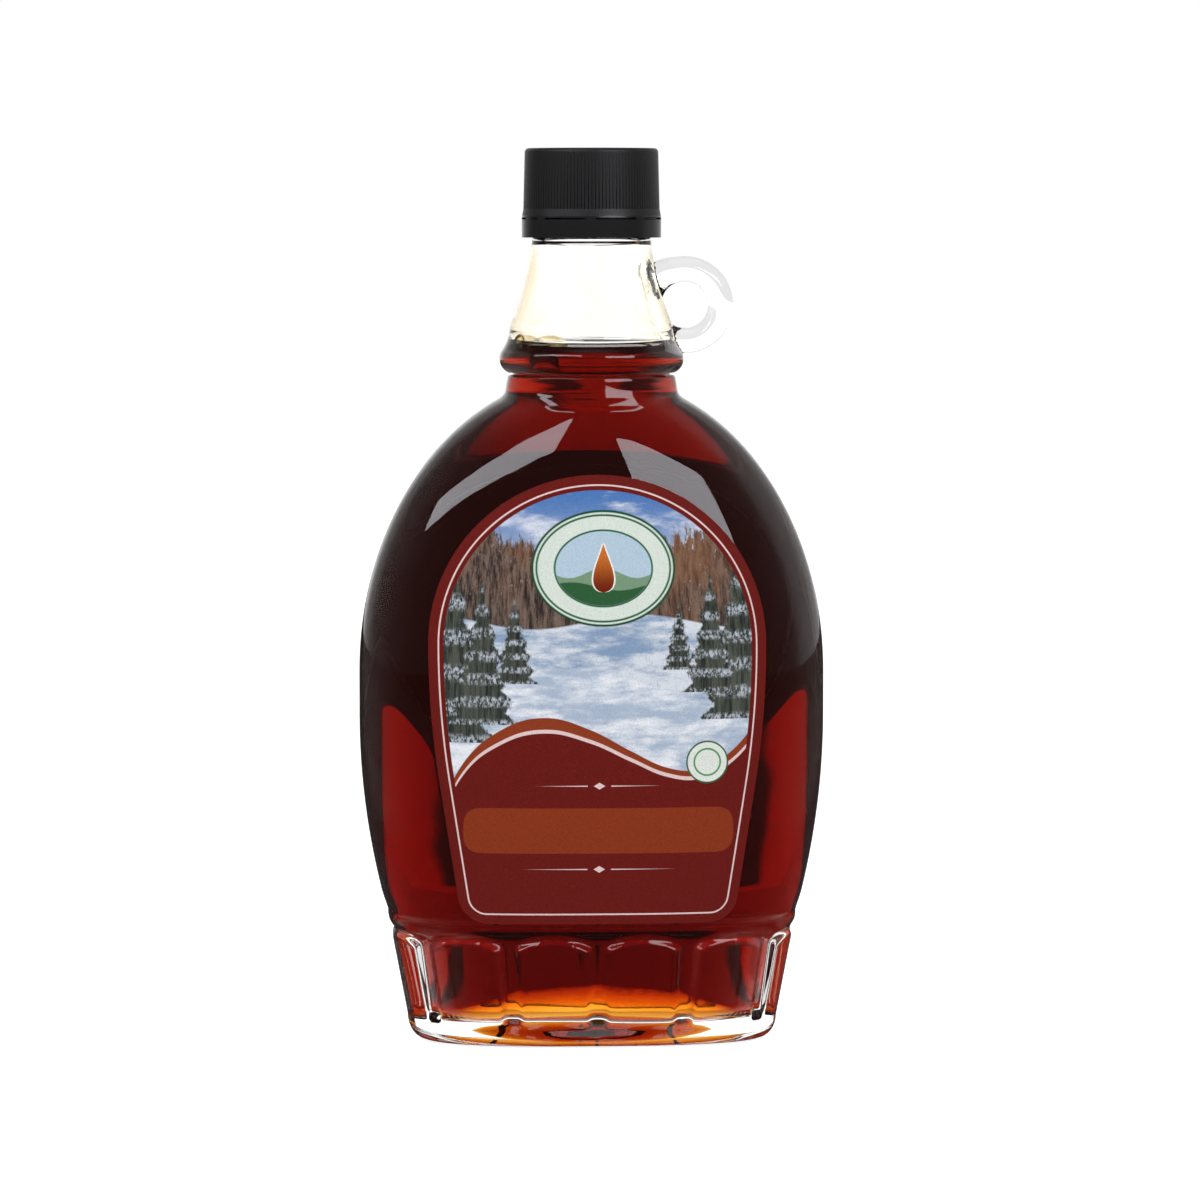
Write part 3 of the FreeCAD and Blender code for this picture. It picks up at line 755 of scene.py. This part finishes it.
def makeLabel(name, side):
    s = labelLook | labelLook["front" if side < 0 else "back"]
    bm = bmesh.new()
    edge = bm.verts.layers.float.new("edge")
    top = s["headHeight"] + s["halfWidth"]
    rows, straight = s["cornerRows"], s["headHeight"] - s["bottom"] - s["corner"]
    heights = [s["bottom"] + s["corner"] * (1 - math.cos(math.pi / 2 * i / rows)) for i in range(rows)]
    rows = s["sideRows"]
    heights += [s["bottom"] + s["corner"] + straight * i / rows for i in range(rows)]
    rows = s["headRows"]
    heights += [s["headHeight"] + s["halfWidth"] * math.sin(math.pi / 2 * i / rows) for i in range(rows)]
    rims = []
    for stand in (s["thickness"], -s["grip"]):
        rows = []
        for z in heights:
            half = labelHalf(s, z)
            row = []
            for i in range(s["columns"] + 1):
                across = 2 * i / s["columns"] - 1
                x = half * math.sin(math.pi / 2 * across) * s["crowding"]
                x += half * across * (1 - s["crowding"])
                v = bm.verts.new(labelPoint(x + s["aside"], z, side, stand))
                v[edge] = labelEdge(s, x, z) / mm
                row.append(v)
            rows.append(row)
        tip = bm.verts.new(labelPoint(s["aside"], top, side, stand))
        tip[edge] = 0
        for low, high in zip(rows, rows[1:]):
            for i in range(s["columns"]):
                bm.faces.new((low[i], low[i + 1], high[i + 1], high[i]))
        for i in range(s["columns"]):
            bm.faces.new((rows[-1][i], rows[-1][i + 1], tip))
        rims.append([row[0] for row in rows] + [tip] + [row[-1] for row in rows[::-1]] + rows[0][-2:0:-1])
    outer, inner = rims
    for i in range(len(outer)):
        j = (i + 1) % len(outer)
        bm.faces.new((outer[i], outer[j], inner[j], inner[i]))
    bmesh.ops.recalc_face_normals(bm, faces=bm.faces)
    label = newObject(name, bm)
    bpy.ops.object.select_all(action="DESELECT")
    label.select_set(True)
    bpy.context.view_layer.objects.active = label
    bpy.ops.object.shade_smooth_by_angle(angle=math.radians(50))
    print(name, len(label.data.vertices), "points")
    return label


def newFinish(name):
    material = bpy.data.materials.new(name)
    material.use_nodes = True
    return material, material.node_tree, material.node_tree.nodes["Principled BSDF"]


def setInputs(node, values):
    for name, value in values.items():
        node.inputs[name].default_value = value


def feed(tree, sockets, values):
    # each socket takes a plain value or a link
    for socket, value in zip(sockets, values):
        if isinstance(value, (int, float, tuple)):
            socket.default_value = value
        else:
            tree.links.new(value, socket)


def calc(tree, operation, a, b=0.0, c=0.0):
    node = tree.nodes.new("ShaderNodeMath")
    node.operation = operation
    feed(tree, node.inputs, (a, b, c))
    return node.outputs[0]


def plus(tree, a, b):
    return calc(tree, "ADD", a, b)


def minus(tree, a, b):
    return calc(tree, "SUBTRACT", a, b)


def times(tree, a, b):
    return calc(tree, "MULTIPLY", a, b)


def absolute(tree, a):
    return calc(tree, "ABSOLUTE", a)


def blend(tree, share, a, b):
    node = tree.nodes.new("ShaderNodeMix")
    feed(tree, (node.inputs[0], node.inputs[2], node.inputs[3]), (share, a, b))
    return node.outputs[0]


def ramp(tree, value, low, high, outLow=0.0, outHigh=1.0, smooth=True):
    node = tree.nodes.new("ShaderNodeMapRange")
    node.interpolation_type = "SMOOTHSTEP" if smooth else "LINEAR"
    tree.links.new(value, node.inputs[0])
    for socket, number in zip(node.inputs[1:5], (low, high, outLow, outHigh)):
        socket.default_value = number
    return node.outputs[0]


def blendColour(tree, share, a, b):
    node = tree.nodes.new("ShaderNodeMix")
    node.data_type = "RGBA"
    feed(tree, (node.inputs[0], node.inputs[6], node.inputs[7]), (share, a, b))
    return node.outputs[2]


def coordinates(tree, place):
    node = tree.nodes.new("ShaderNodeSeparateXYZ")
    tree.links.new(place, node.inputs[0])
    return node.outputs


def printed(red, green, blue):
    # linear colour of a printed one given in 0-255 steps
    def linear(step):
        share = step / 255
        return share / 12.92 if share < 0.04045 else ((share + 0.055) / 1.055) ** 2.4
    return (linear(red), linear(green), linear(blue), 1)


def placeOf(tree, stretch=(1, 1, 1)):
    # place on the object in millimetres, stretched along its axes
    coords = tree.nodes.new("ShaderNodeTexCoord")
    mapping = tree.nodes.new("ShaderNodeMapping")
    mapping.inputs["Scale"].default_value = tuple(k / mm for k in stretch)
    tree.links.new(coords.outputs["Object"], mapping.inputs["Vector"])
    return mapping.outputs[0]


def noise(tree, place, scale, detail=3.0, roughness=0.55):
    node = tree.nodes.new("ShaderNodeTexNoise")
    tree.links.new(place, node.inputs["Vector"])
    setInputs(node, {"Scale": scale, "Detail": detail, "Roughness": roughness})
    return node.outputs["Fac"]


def bump(tree, shader, height, strength, distance):
    node = tree.nodes.new("ShaderNodeBump")
    setInputs(node, {"Strength": strength, "Distance": distance})
    tree.links.new(height, node.inputs["Height"])
    tree.links.new(node.outputs[0], shader.inputs["Normal"])


def clearFinish(name, ior, level, ripple):
    material, tree, shader = newFinish(name)
    setInputs(shader, {"Base Color": (1, 1, 1, 1), "Transmission Weight": 1, "Roughness": 0})
    setInputs(shader, {"IOR": ior, "Specular IOR Level": level})
    if level == 0:  # a wall wetted by the syrup has next to no reflection of its own
        shader.inputs["Specular Tint"].default_value = (0, 0, 0, 1)
    if ripple:
        bump(tree, shader, noise(tree, placeOf(tree), 0.06, 1, 0.4), 1.0, ripple)
    return material


def syrupFinish(name, level, depth=1.0, tint=syrupLook["tint"]):
    material = clearFinish(name, syrupLook["ior"], level, 0)
    tree = material.node_tree
    volume = tree.nodes.new("ShaderNodeVolumeAbsorption")
    setInputs(volume, {"Density": syrupLook["density"] * depth, "Color": tint})
    # painted glow: the syrup gives off this red light under any lamp
    hazeGlow = tree.nodes.new("ShaderNodeEmission")  # stands for the faint red light that haze scatters
    setInputs(hazeGlow, {"Color": syrupLook["hazeGlow"], "Strength": syrupLook["hazeGlowStrength"]})
    both = tree.nodes.new("ShaderNodeAddShader")
    tree.links.new(volume.outputs[0], both.inputs[0])
    tree.links.new(hazeGlow.outputs[0], both.inputs[1])
    tree.links.new(both.outputs[0], tree.nodes["Material Output"].inputs["Volume"])
    return material


capLook = {
    "colour": (0.0125, 0.0125, 0.013, 1),
    "dust": (0.011, 0.011, 0.0115, 1),
    "roughness": 0.42,
    "bandRoughness": 0.2,
    "bandTop": 183.0,
    "grainDepth": 0.04 * mm,
    "scoreLow": 182.15 * mm,
    "scoreHigh": 182.9 * mm,
    "shadeSheetInside": 14.1 * mm,
    "shadeSheetOutside": 14.8 * mm,
    "scoreSteps": 160,
    "scoreStart": 238,
    "scoreGap": 7,
}


def capFinish():
    # satin skirt with a fine grain, and a glossier tamper band under it
    c = capLook
    material, tree, shader = newFinish("blackCapPlastic")
    place = placeOf(tree)
    cells = noise(tree, place, 1.6, 4, 0.6)
    grain = noise(tree, place, 9, 3, 0.6)
    above = ramp(tree, coordinates(tree, place)["Z"], c["bandTop"], c["bandTop"] + 0.3)
    glossy = calc(tree, "MULTIPLY_ADD", grain, 0.1, c["bandRoughness"] - 0.05)
    satin = calc(tree, "MULTIPLY_ADD", cells, 0.12, c["roughness"] - 0.06)
    tree.links.new(blend(tree, above, glossy, satin), shader.inputs["Roughness"])
    colour = blendColour(tree, ramp(tree, cells, 0.55, 0.8), c["colour"], c["dust"])
    tree.links.new(colour, shader.inputs["Base Color"])
    shader.inputs["IOR"].default_value = 1.5
    bump(tree, shader, grain, 0.3, c["grainDepth"])
    return material


paperLook = {
    "brick": (printed(97, 24, 20), printed(113, 31, 26)),
    "line": printed(226, 200, 196),
    "roughness": 0.5,
    "ior": 1.45,
    "gloss": 0.06,
    "fibreDepth": 0.02 * mm,
    "frontBorder": (2.2, 0.36),  # distance from the edge and width in millimetres
    "backBorder": (3.0, 0.35),
}


def paperFinish(name):
    # brick-red coated paper, bare: the back label, and the ground of the front one
    p = paperLook
    material, tree, shader = newFinish(name)
    place = placeOf(tree)
    grain = noise(tree, place, 3.2, 4, 0.65)
    field = blendColour(tree, ramp(tree, grain, 0.3, 0.7), *p["brick"])
    setInputs(shader, {"Roughness": p["roughness"], "IOR": p["ior"], "Specular IOR Level": p["gloss"]})
    bump(tree, shader, noise(tree, place, 6, 3, 0.6), 0.4, p["fibreDepth"])
    return material, tree, shader, place, field


def borderLine(tree, edge, field, at, width):
    line = calc(tree, "COMPARE", edge, at, width / 2)
    return blendColour(tree, line, field, paperLook["line"])


def edgeOf(tree):
    node = tree.nodes.new("ShaderNodeAttribute")
    node.attribute_name = "edge"
    return node.outputs["Fac"]


def backPaper():
    material, tree, shader, _, field = paperFinish("bareLabelPaper")
    colour = borderLine(tree, edgeOf(tree), field, *paperLook["backBorder"])
    tree.links.new(colour, shader.inputs["Base Color"])
    return material


pictureLook = {
    # places in millimetres: the wave's crest line from left to right, and the bare panels
    "wave": [
        (-34, 52), (-29.5, 61.5), (-22, 67.8), (-12.4, 70.6), (-2, 68.4),
        (7, 64.3), (15, 60.9), (22, 60.3), (28.5, 63.2), (34, 68.5),
    ],
    "waveLine": 0.42,
    "pictureInset": 3.3,
    "medallion": (1.0, 106.2, 15.8, 12.7),
    "pill": (0.0, 48.7, 29.7, 5.0),
    "spot": (23.8, 63.6, 4.7),
    "rules": [(58.6, 13), (40.2, 16)],
    "skyLow": 97.0,
    "skyHigh": 124.0,
}


def waveHeight(tree, x):
    # height of the wave at x, as a free curve through a few points
    node = tree.nodes.new("ShaderNodeFloatCurve")
    curve = node.mapping.curves[0]
    points = pictureLook["wave"]
    left, right = points[0][0], points[-1][0]
    for px, pz in points[1:-1]:
        curve.points.new((px - left) / (right - left), pz / 100)
    curve.points[0].location = (0, points[0][1] / 100)
    curve.points[-1].location = (1, points[-1][1] / 100)
    node.mapping.update()
    share = ramp(tree, x, left, right, smooth=False)
    tree.links.new(share, node.inputs["Value"])
    return times(tree, node.outputs[0], 100)


def ovalFar(tree, x, z, centreX, centreZ, halfWidth, halfHeight):
    # 1 on the oval's edge, less inside it
    a = calc(tree, "DIVIDE", minus(tree, x, centreX), halfWidth)
    b = calc(tree, "DIVIDE", minus(tree, z, centreZ), halfHeight)
    square = plus(tree, times(tree, a, a), times(tree, b, b))
    return calc(tree, "SQRT", square)


def inside(tree, value, limit, soft):
    return ramp(tree, value, limit + soft, limit - soft)


def hillLine(tree, x, base, swing, length, shift):
    angle = calc(tree, "MULTIPLY_ADD", x, 2 * math.pi / length, shift)
    return calc(tree, "MULTIPLY_ADD", calc(tree, "SINE", angle), swing, base)


fir = {
    "tiers": 6.0,
    # in millimetres: middle, foot, height, spread
    "places": [
        (31, 73, 36, 8), (24.5, 79, 25, 5.5), (-33, 68, 46, 10),
        (-25.5, 72, 30, 7), (-18.5, 81, 18, 4.4), (17.5, 84, 14, 3.4),
    ],
}


def addFir(tree, colour, x, z, trunks, twigs, place):
    # a cone of boughs, ragged by fine noise, with snow on their upper sides
    centre, foot, tall, spread = place
    rising = calc(tree, "DIVIDE", minus(tree, z, foot), tall)
    tiers = calc(tree, "PINGPONG", times(tree, rising, fir["tiers"]), 0.5)
    reach = times(tree, minus(tree, 1.04, rising), spread)
    reach = times(tree, reach, calc(tree, "MULTIPLY_ADD", tiers, -0.7, 1.1))
    ragged = calc(tree, "MULTIPLY_ADD", twigs, 3.2, -1.6)
    away = absolute(tree, minus(tree, x, centre))
    body = inside(tree, plus(tree, minus(tree, away, reach), ragged), 0, 0.35)
    body = times(tree, body, calc(tree, "GREATER_THAN", rising, 0))
    needles = blendColour(tree, ramp(tree, trunks, 0.35, 0.65), printed(38, 44, 42), printed(84, 88, 78))
    snowy = times(tree, ramp(tree, tiers, 0.32, 0.1), ramp(tree, twigs, 0.45, 0.6))
    needles = blendColour(tree, snowy, needles, printed(186, 194, 202))
    return blendColour(tree, body, colour, needles)


def snowPicture(tree, place, x, z):
    # plain winter country: sky, far woods, snow slopes with blue shade, firs at the sides
    p = pictureLook
    clouds = noise(tree, placeOf(tree, (0.5, 1, 1.6)), 0.11, 5, 0.6)
    height = ramp(tree, z, p["skyLow"], p["skyHigh"])
    sky = blendColour(tree, height, printed(196, 206, 218), printed(74, 118, 178))
    sky = blendColour(tree, ramp(tree, clouds, 0.5, 0.72), sky, printed(216, 222, 230))
    trunks = noise(tree, placeOf(tree, (1, 1, 0.06)), 1.15, 4, 0.75)
    twigs = noise(tree, placeOf(tree, (1, 1, 0.5)), 1.5, 5, 0.75)
    glow = noise(tree, place, 0.05, 2, 0.5)
    woods = blendColour(tree, ramp(tree, trunks, 0.36, 0.62), printed(46, 38, 38), printed(118, 100, 88))
    woods = blendColour(tree, ramp(tree, glow, 0.45, 0.65, 0, 0.45), woods, printed(140, 92, 56))
    woods = blendColour(tree, ramp(tree, twigs, 0.6, 0.74, 0, 0.7), woods, printed(196, 196, 200))
    ragged = calc(tree, "MULTIPLY_ADD", noise(tree, placeOf(tree, (1, 1, 0.15)), 0.55, 6, 0.8), 22, 98)
    ragged = plus(tree, ragged, times(tree, absolute(tree, x), 0.22))
    colour = blendColour(tree, inside(tree, minus(tree, z, ragged), 0, 1.2), sky, woods)
    rise = hillLine(tree, x, 94.5, 1.6, 47, 0.4)
    drift = noise(tree, placeOf(tree, (0.35, 1, 1.3)), 0.22, 5, 0.62)
    snow = blendColour(tree, ramp(tree, drift, 0.36, 0.6), printed(132, 156, 184), printed(214, 220, 226))
    scrub = times(tree, ramp(tree, twigs, 0.56, 0.7), ramp(tree, glow, 0.5, 0.62))
    snow = blendColour(tree, times(tree, scrub, 0.75), snow, printed(104, 92, 82))
    colour = blendColour(tree, inside(tree, minus(tree, z, rise), 0, 0.25), colour, snow)
    near = hillLine(tree, x, 80.0, 4.5, 90, 2.2)
    slope = blendColour(tree, ramp(tree, drift, 0.4, 0.66), printed(168, 184, 202), printed(232, 235, 238))
    colour = blendColour(tree, inside(tree, minus(tree, z, near), 0, 0.3), colour, slope)
    for spot in fir["places"]:
        colour = addFir(tree, colour, x, z, trunks, twigs, spot)
    return colour


def medallion(tree, colour, x, z):
    # plain oval badge: green rims, pale ring, and a drop over green hills
    cx, cz, halfWidth, halfHeight = pictureLook["medallion"]
    green, pale = printed(38, 98, 62), printed(214, 224, 212)
    steps = (
        (halfWidth, halfHeight, printed(30, 74, 48)), (halfWidth - 0.5, halfHeight - 0.5, pale),
        (halfWidth - 0.9, halfHeight - 0.9, green), (halfWidth - 1.35, halfHeight - 1.35, pale),
        (halfWidth - 4.9, halfHeight - 4.2, green),
        (halfWidth - 5.3, halfHeight - 4.6, printed(178, 200, 214)),
    )
    for a, b, tone in steps:
        far = ovalFar(tree, x, z, cx, cz, a, b)
        colour = blendColour(tree, inside(tree, far, 1, 0.012), colour, tone)
    field = inside(tree, ovalFar(tree, x, z, cx, cz, halfWidth - 5.3, halfHeight - 4.6), 1, 0.012)
    back = hillLine(tree, x, cz - 1.0, 1.1, 15, 1.2)
    front = hillLine(tree, x, cz - 3.9, 0.9, 21, 3.4)
    for line, tone in ((back, printed(120, 150, 120)), (front, printed(48, 92, 56))):
        below = times(tree, inside(tree, minus(tree, z, line), 0, 0.15), field)
        colour = blendColour(tree, below, colour, tone)
    rising = calc(tree, "DIVIDE", minus(tree, z, cz - 5.2), 10.6)
    belly = times(tree, rising, minus(tree, 1, rising))
    belly = calc(tree, "SQRT", calc(tree, "MAXIMUM", belly, 0))
    half = times(tree, belly, calc(tree, "MULTIPLY_ADD", rising, -6.4, 7.0))
    away = absolute(tree, minus(tree, x, cx))
    gap = minus(tree, away, half)
    gap = plus(tree, gap, calc(tree, "LESS_THAN", belly, 0.01))
    colour = blendColour(tree, inside(tree, gap, 0.28, 0.08), colour, printed(238, 238, 230))
    amber = blendColour(tree, ramp(tree, z, cz - 5, cz + 4), printed(112, 34, 12), printed(196, 110, 44))
    colour = blendColour(tree, inside(tree, gap, -0.05, 0.08), colour, amber)
    return colour


def rule(tree, colour, x, z, height, half, tone):
    # thin printed rule with a small lozenge in its middle
    up = absolute(tree, minus(tree, z, height))
    away = absolute(tree, x)
    taper = ramp(tree, away, half, 2.5, 0.0, 0.13, smooth=False)
    line = inside(tree, minus(tree, up, taper), 0, 0.05)
    line = times(tree, line, inside(tree, away, half, 1.5))
    line = times(tree, line, calc(tree, "GREATER_THAN", away, 2.6))
    lozenge = inside(tree, plus(tree, up, times(tree, away, 0.6)), 0.75, 0.06)
    return blendColour(tree, calc(tree, "MAXIMUM", line, lozenge), colour, tone)


def frontPaper():
    p = pictureLook
    material, tree, shader, place, field = paperFinish("printedLabelPaper")
    outputs = coordinates(tree, place)
    x, z = outputs["X"], outputs["Z"]
    edge = edgeOf(tree)
    picture = snowPicture(tree, place, x, z)
    picture = medallion(tree, picture, x, z)
    wave = waveHeight(tree, x)
    over = minus(tree, z, wave)
    depth = calc(tree, "MULTIPLY_ADD", hillLine(tree, x, 0.5, 0.5, 60, 3.0), 1.4, 1.6)
    band = inside(tree, minus(tree, over, depth), 0, 0.06)
    colour = blendColour(tree, band, picture, printed(141, 60, 33))
    low = inside(tree, over, 0, 0.05)
    onWave = inside(tree, absolute(tree, over), p["waveLine"], 0.05)
    colour = blendColour(tree, low, colour, field)
    colour = blendColour(tree, onWave, colour, paperLook["line"])
    within = ramp(tree, edge, p["pictureInset"] - 0.05, p["pictureInset"] + 0.05)
    colour = blendColour(tree, within, field, colour)
    px, pz, halfWidth, halfHeight = p["pill"]
    away = minus(tree, absolute(tree, minus(tree, x, px)), halfWidth - halfHeight)
    away = calc(tree, "MAXIMUM", away, 0)
    up = absolute(tree, minus(tree, z, pz))
    away = calc(tree, "POWER", calc(tree, "DIVIDE", away, halfHeight), 3)
    up = calc(tree, "POWER", calc(tree, "DIVIDE", up, halfHeight), 3)
    pill = inside(tree, plus(tree, away, up), 1, 0.03)
    mottled = blendColour(tree, noise(tree, place, 2.4, 3), printed(132, 48, 24), printed(143, 60, 31))
    colour = blendColour(tree, pill, colour, mottled)
    for height, half in p["rules"]:
        colour = rule(tree, colour, x, z, height, half, paperLook["line"])
    sx, sz, radius = p["spot"]
    pale = printed(222, 228, 218)
    for inset, tone in ((0, printed(40, 96, 58)), (0.35, pale), (1.6, printed(88, 150, 92)), (2.0, pale)):
        far = ovalFar(tree, x, z, sx, sz, radius - inset, radius - inset)
        colour = blendColour(tree, inside(tree, far, 1, 0.02), colour, tone)
    colour = borderLine(tree, edge, colour, *paperLook["frontBorder"])
    speck = noise(tree, place, 5.5, 2, 0.7)
    node = tree.nodes.new("ShaderNodeHueSaturation")
    tree.links.new(colour, node.inputs["Color"])
    tree.links.new(ramp(tree, speck, 0.25, 0.75, 0.8, 1.2), node.inputs["Value"])
    tree.links.new(node.outputs[0], shader.inputs["Base Color"])
    return material


glass = makeGlass()
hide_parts("glass")
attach(glass, "root")

syrup = makeSyrup()
syrup.data.materials.append(syrupFinish("darkSyrupAtWall", 0.0))
syrup.data.materials.append(syrupFinish("darkSyrupSurface", 0.5))
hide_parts("syrup")
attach(syrup, "root")

film = makeFilm()
film.data.materials.append(syrupFinish("thinSyrup", 0.5))
frothSyrup = syrupFinish("frothSyrup", 0.5, bubbleLook["depth"], bubbleLook["tint"])
bubbles = [bubble("clearBubble", *bubbleLook["dome"])]
for i, (x, y, radius) in enumerate(bubbleLook["froth"], 1):
    bubbles.append(bubble(f"frothBubble{i}", x, y, radius, radius, radius * bubbleLook["frothLift"]))
for piece in bubbles:
    piece.data.materials.append(frothSyrup)
print("bubbles", len(bubbles))
for piece in bubbles + [film]:
    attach(piece, "root")

frontLabel = makeLabel("frontLabelPaper", -1)
frontLabel.data.materials.append(frontPaper())
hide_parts("front_label")
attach(frontLabel, "root")
backLabel = makeLabel("backLabelPaper", 1)
backLabel.data.materials.append(backPaper())
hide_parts("back_label")
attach(backLabel, "root")


def makeSlitShadeSheet():
    # painted shade: a dark sheet of the cap's plastic that closes the score line over the tamper band, but
    # for one break, so the slit shows dark
    c = capLook
    bm = bmesh.new()
    low, high, near, far = c["scoreLow"], c["scoreHigh"], c["shadeSheetInside"], c["shadeSheetOutside"]
    rims = []
    for i in range(c["scoreSteps"] + 1):
        a = math.radians(c["scoreStart"] + (360 - c["scoreGap"]) * i / c["scoreSteps"])
        corners = ((near, low), (far, low), (far, high), (near, high))
        rims.append([bm.verts.new((r * math.cos(a), r * math.sin(a), z)) for r, z in corners])
    for a, b in zip(rims, rims[1:]):
        for i in range(4):
            j = (i + 1) % 4
            bm.faces.new((a[i], a[j], b[j], b[i]))
    bm.faces.new(rims[0][::-1])
    bm.faces.new(rims[-1])
    bmesh.ops.recalc_face_normals(bm, faces=bm.faces)
    return newObject("capSlitShadeSheet", bm)


capPlastic = capFinish()
for slot in bpy.data.objects["cap"].material_slots:
    slot.material = capPlastic
# the sheet is painted shade in the score line
slitShadeSheet = makeSlitShadeSheet()
slitShadeSheet.data.materials.append(capPlastic)
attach(slitShadeSheet, "root")
print("cap", len(slitShadeSheet.data.vertices), "points in its web")

studio = {
    "camera": (-0.0801, -1.3476, 0.185),
    "aim": (0.0019, 0.0, 0.0975),
    "lens": 181.8,
    "sensor": 36,
    "boxColour": (0.95, 0.94, 1.0),
    "boxAim": (0, 0, 0.12),
    "boxes": [
        # turn from the front, rise, distance, width, height, roll, glare, light
        (-52, 36.5, 1.2, 1.33, 0.19, 9, 5.2, 7.4),
        (35.5, 27, 1.2, 0.78, 0.3, 0, 5.2, 7.4),
    ],
    "floorSize": 6,
    "floorColour": (0.8, 0.8, 0.8, 1),
    "floorColourInGloss": (0.06, 0.06, 0.06, 1),
    "floorGlow": 0.8,
    # glow of the floor as seen deep through the bottle: from and to in millimetres, and the two levels
    "glowUnder": (70, 120, 1.3, 0.1),
    "glowFar": (230, 320, 0.0, 2.2),
    "glowClose": (70, 100, 1.6, 0.0),
    "glowCloseFade": (70, 120, 1.0, 0.0),
    "plainLight": 0.5,
    # light of the world by direction: from and to on one axis, and the two levels
    "glareBehind": (0.5, 0.8, 0.07, 0.4),
    "glareStraightBehind": (0.8, 1.0, 0.0, 0.6),
    "glareHandleSide": (0.45, 0.85, 0.0, 0.32),
    "glareHandleBehind": (-0.1, 0.2),
    "glareCeiling": (0.78, 0.95, 0.0, 0.5),
    "throughGlass": (-0.6, 0.2, 1.1, 1.25),
    "throughSides": (0.5, 0.9, 0.0, 0.8),
}


def softBox(name, azimuth, rise, distance, width, height, roll, radiance, glossy):
    # rectangular lamp that lights either only reflections or only surfaces
    light = bpy.data.lights.new(name, "AREA")
    light.shape = "RECTANGLE"
    light.size = width
    light.size_y = height
    light.energy = radiance * math.pi * width * height
    light.color = studio["boxColour"]
    box = bpy.data.objects.new(name, light)
    bpy.context.scene.collection.objects.link(box)
    a, e = math.radians(azimuth), math.radians(rise)
    direction = Vector((math.sin(a) * math.cos(e), -math.cos(a) * math.cos(e), math.sin(e)))
    box.location = Vector(studio["boxAim"]) + direction * distance
    facing = (-direction).to_track_quat("-Z", "Y").to_matrix()
    box.rotation_euler = (facing @ Matrix.Rotation(math.radians(roll), 3, "Z")).to_euler()
    box.visible_camera = False
    box.visible_glossy = glossy
    box.visible_diffuse = not glossy
    box.visible_transmission = False


def makeFloor():
    bpy.ops.object.select_all(action="DESELECT")
    bpy.ops.mesh.primitive_plane_add(size=studio["floorSize"], location=(0, 0, 0))
    floor = bpy.context.object
    floor.name = "studioFloor"
    material, tree, shader = newFinish("whiteFloor")
    setInputs(shader, {"Roughness": 0.9, "Specular IOR Level": 0.0, "Emission Color": (1, 1, 1, 1)})
    path = tree.nodes.new("ShaderNodeLightPath").outputs
    spot = coordinates(tree, placeOf(tree))
    aside = absolute(tree, spot["X"])
    sweep = plus(tree, ramp(tree, aside, *studio["glowUnder"]), ramp(tree, aside, *studio["glowFar"]))
    close = ramp(tree, aside, *studio["glowClose"])
    close = times(tree, close, ramp(tree, spot["Y"], *studio["glowCloseFade"]))
    sweep = plus(tree, sweep, close)
    deep = ramp(tree, path["Transmission Depth"], 2.5, 3.5, smooth=False)
    sweep = plus(tree, times(tree, deep, sweep), minus(tree, 1, deep))
    through = times(tree, path["Is Transmission Ray"], sweep)
    seen = calc(tree, "MAXIMUM", path["Is Camera Ray"], through)
    glow = times(tree, seen, studio["floorGlow"])
    tree.links.new(glow, shader.inputs["Emission Strength"])
    colour = blendColour(tree, path["Is Glossy Ray"], studio["floorColour"], studio["floorColourInGloss"])
    tree.links.new(colour, shader.inputs["Base Color"])
    floor.data.materials.append(material)
    return floor


def makeWorld():
    world = bpy.data.worlds.new("studioWorld")
    bpy.context.scene.world = world
    world.use_nodes = True
    tree = world.node_tree
    path = tree.nodes.new("ShaderNodeLightPath").outputs
    parts = coordinates(tree, tree.nodes.new("ShaderNodeTexCoord").outputs["Generated"])
    behind = ramp(tree, parts["Y"], *studio["glareBehind"])
    behind = plus(tree, behind, ramp(tree, parts["Y"], *studio["glareStraightBehind"]))
    handleSide = ramp(tree, parts["X"], *studio["glareHandleSide"])
    handleSide = times(tree, handleSide, ramp(tree, parts["Y"], *studio["glareHandleBehind"]))
    behind = plus(tree, behind, handleSide)
    behind = calc(tree, "MAXIMUM", behind, ramp(tree, parts["Z"], *studio["glareCeiling"]))
    through = ramp(tree, parts["Y"], *studio["throughGlass"])
    sideways = absolute(tree, parts["X"])
    through = plus(tree, through, ramp(tree, sideways, *studio["throughSides"]))
    strength = studio["plainLight"]
    for kind, value in (("Is Glossy Ray", behind), ("Is Transmission Ray", through), ("Is Camera Ray", 1.0)):
        strength = blend(tree, path[kind], strength, value)
    tree.links.new(strength, tree.nodes["Background"].inputs["Strength"])
    tree.nodes["Background"].inputs["Color"].default_value = (1, 1, 1, 1)


def makeCamera():
    data = bpy.data.cameras.new("studioCamera")
    camera = bpy.data.objects.new("studioCamera", data)
    bpy.context.scene.collection.objects.link(camera)
    data.lens = studio["lens"]
    data.sensor_width = studio["sensor"]
    data.clip_start = 0.05
    camera.location = studio["camera"]
    direction = Vector(studio["aim"]) - Vector(studio["camera"])
    camera.rotation_euler = direction.to_track_quat("-Z", "Y").to_euler()
    return camera


for i, (*place, glare, plain) in enumerate(studio["boxes"]):
    softBox(f"glare{i}", *place, glare, True)
    softBox(f"softBox{i}", *place, plain, False)
makeFloor()
makeWorld()
bpy.context.scene.camera = makeCamera()
bpy.context.scene.view_settings.view_transform = "Standard"
print("studio", len(studio["boxes"]), "soft boxes")
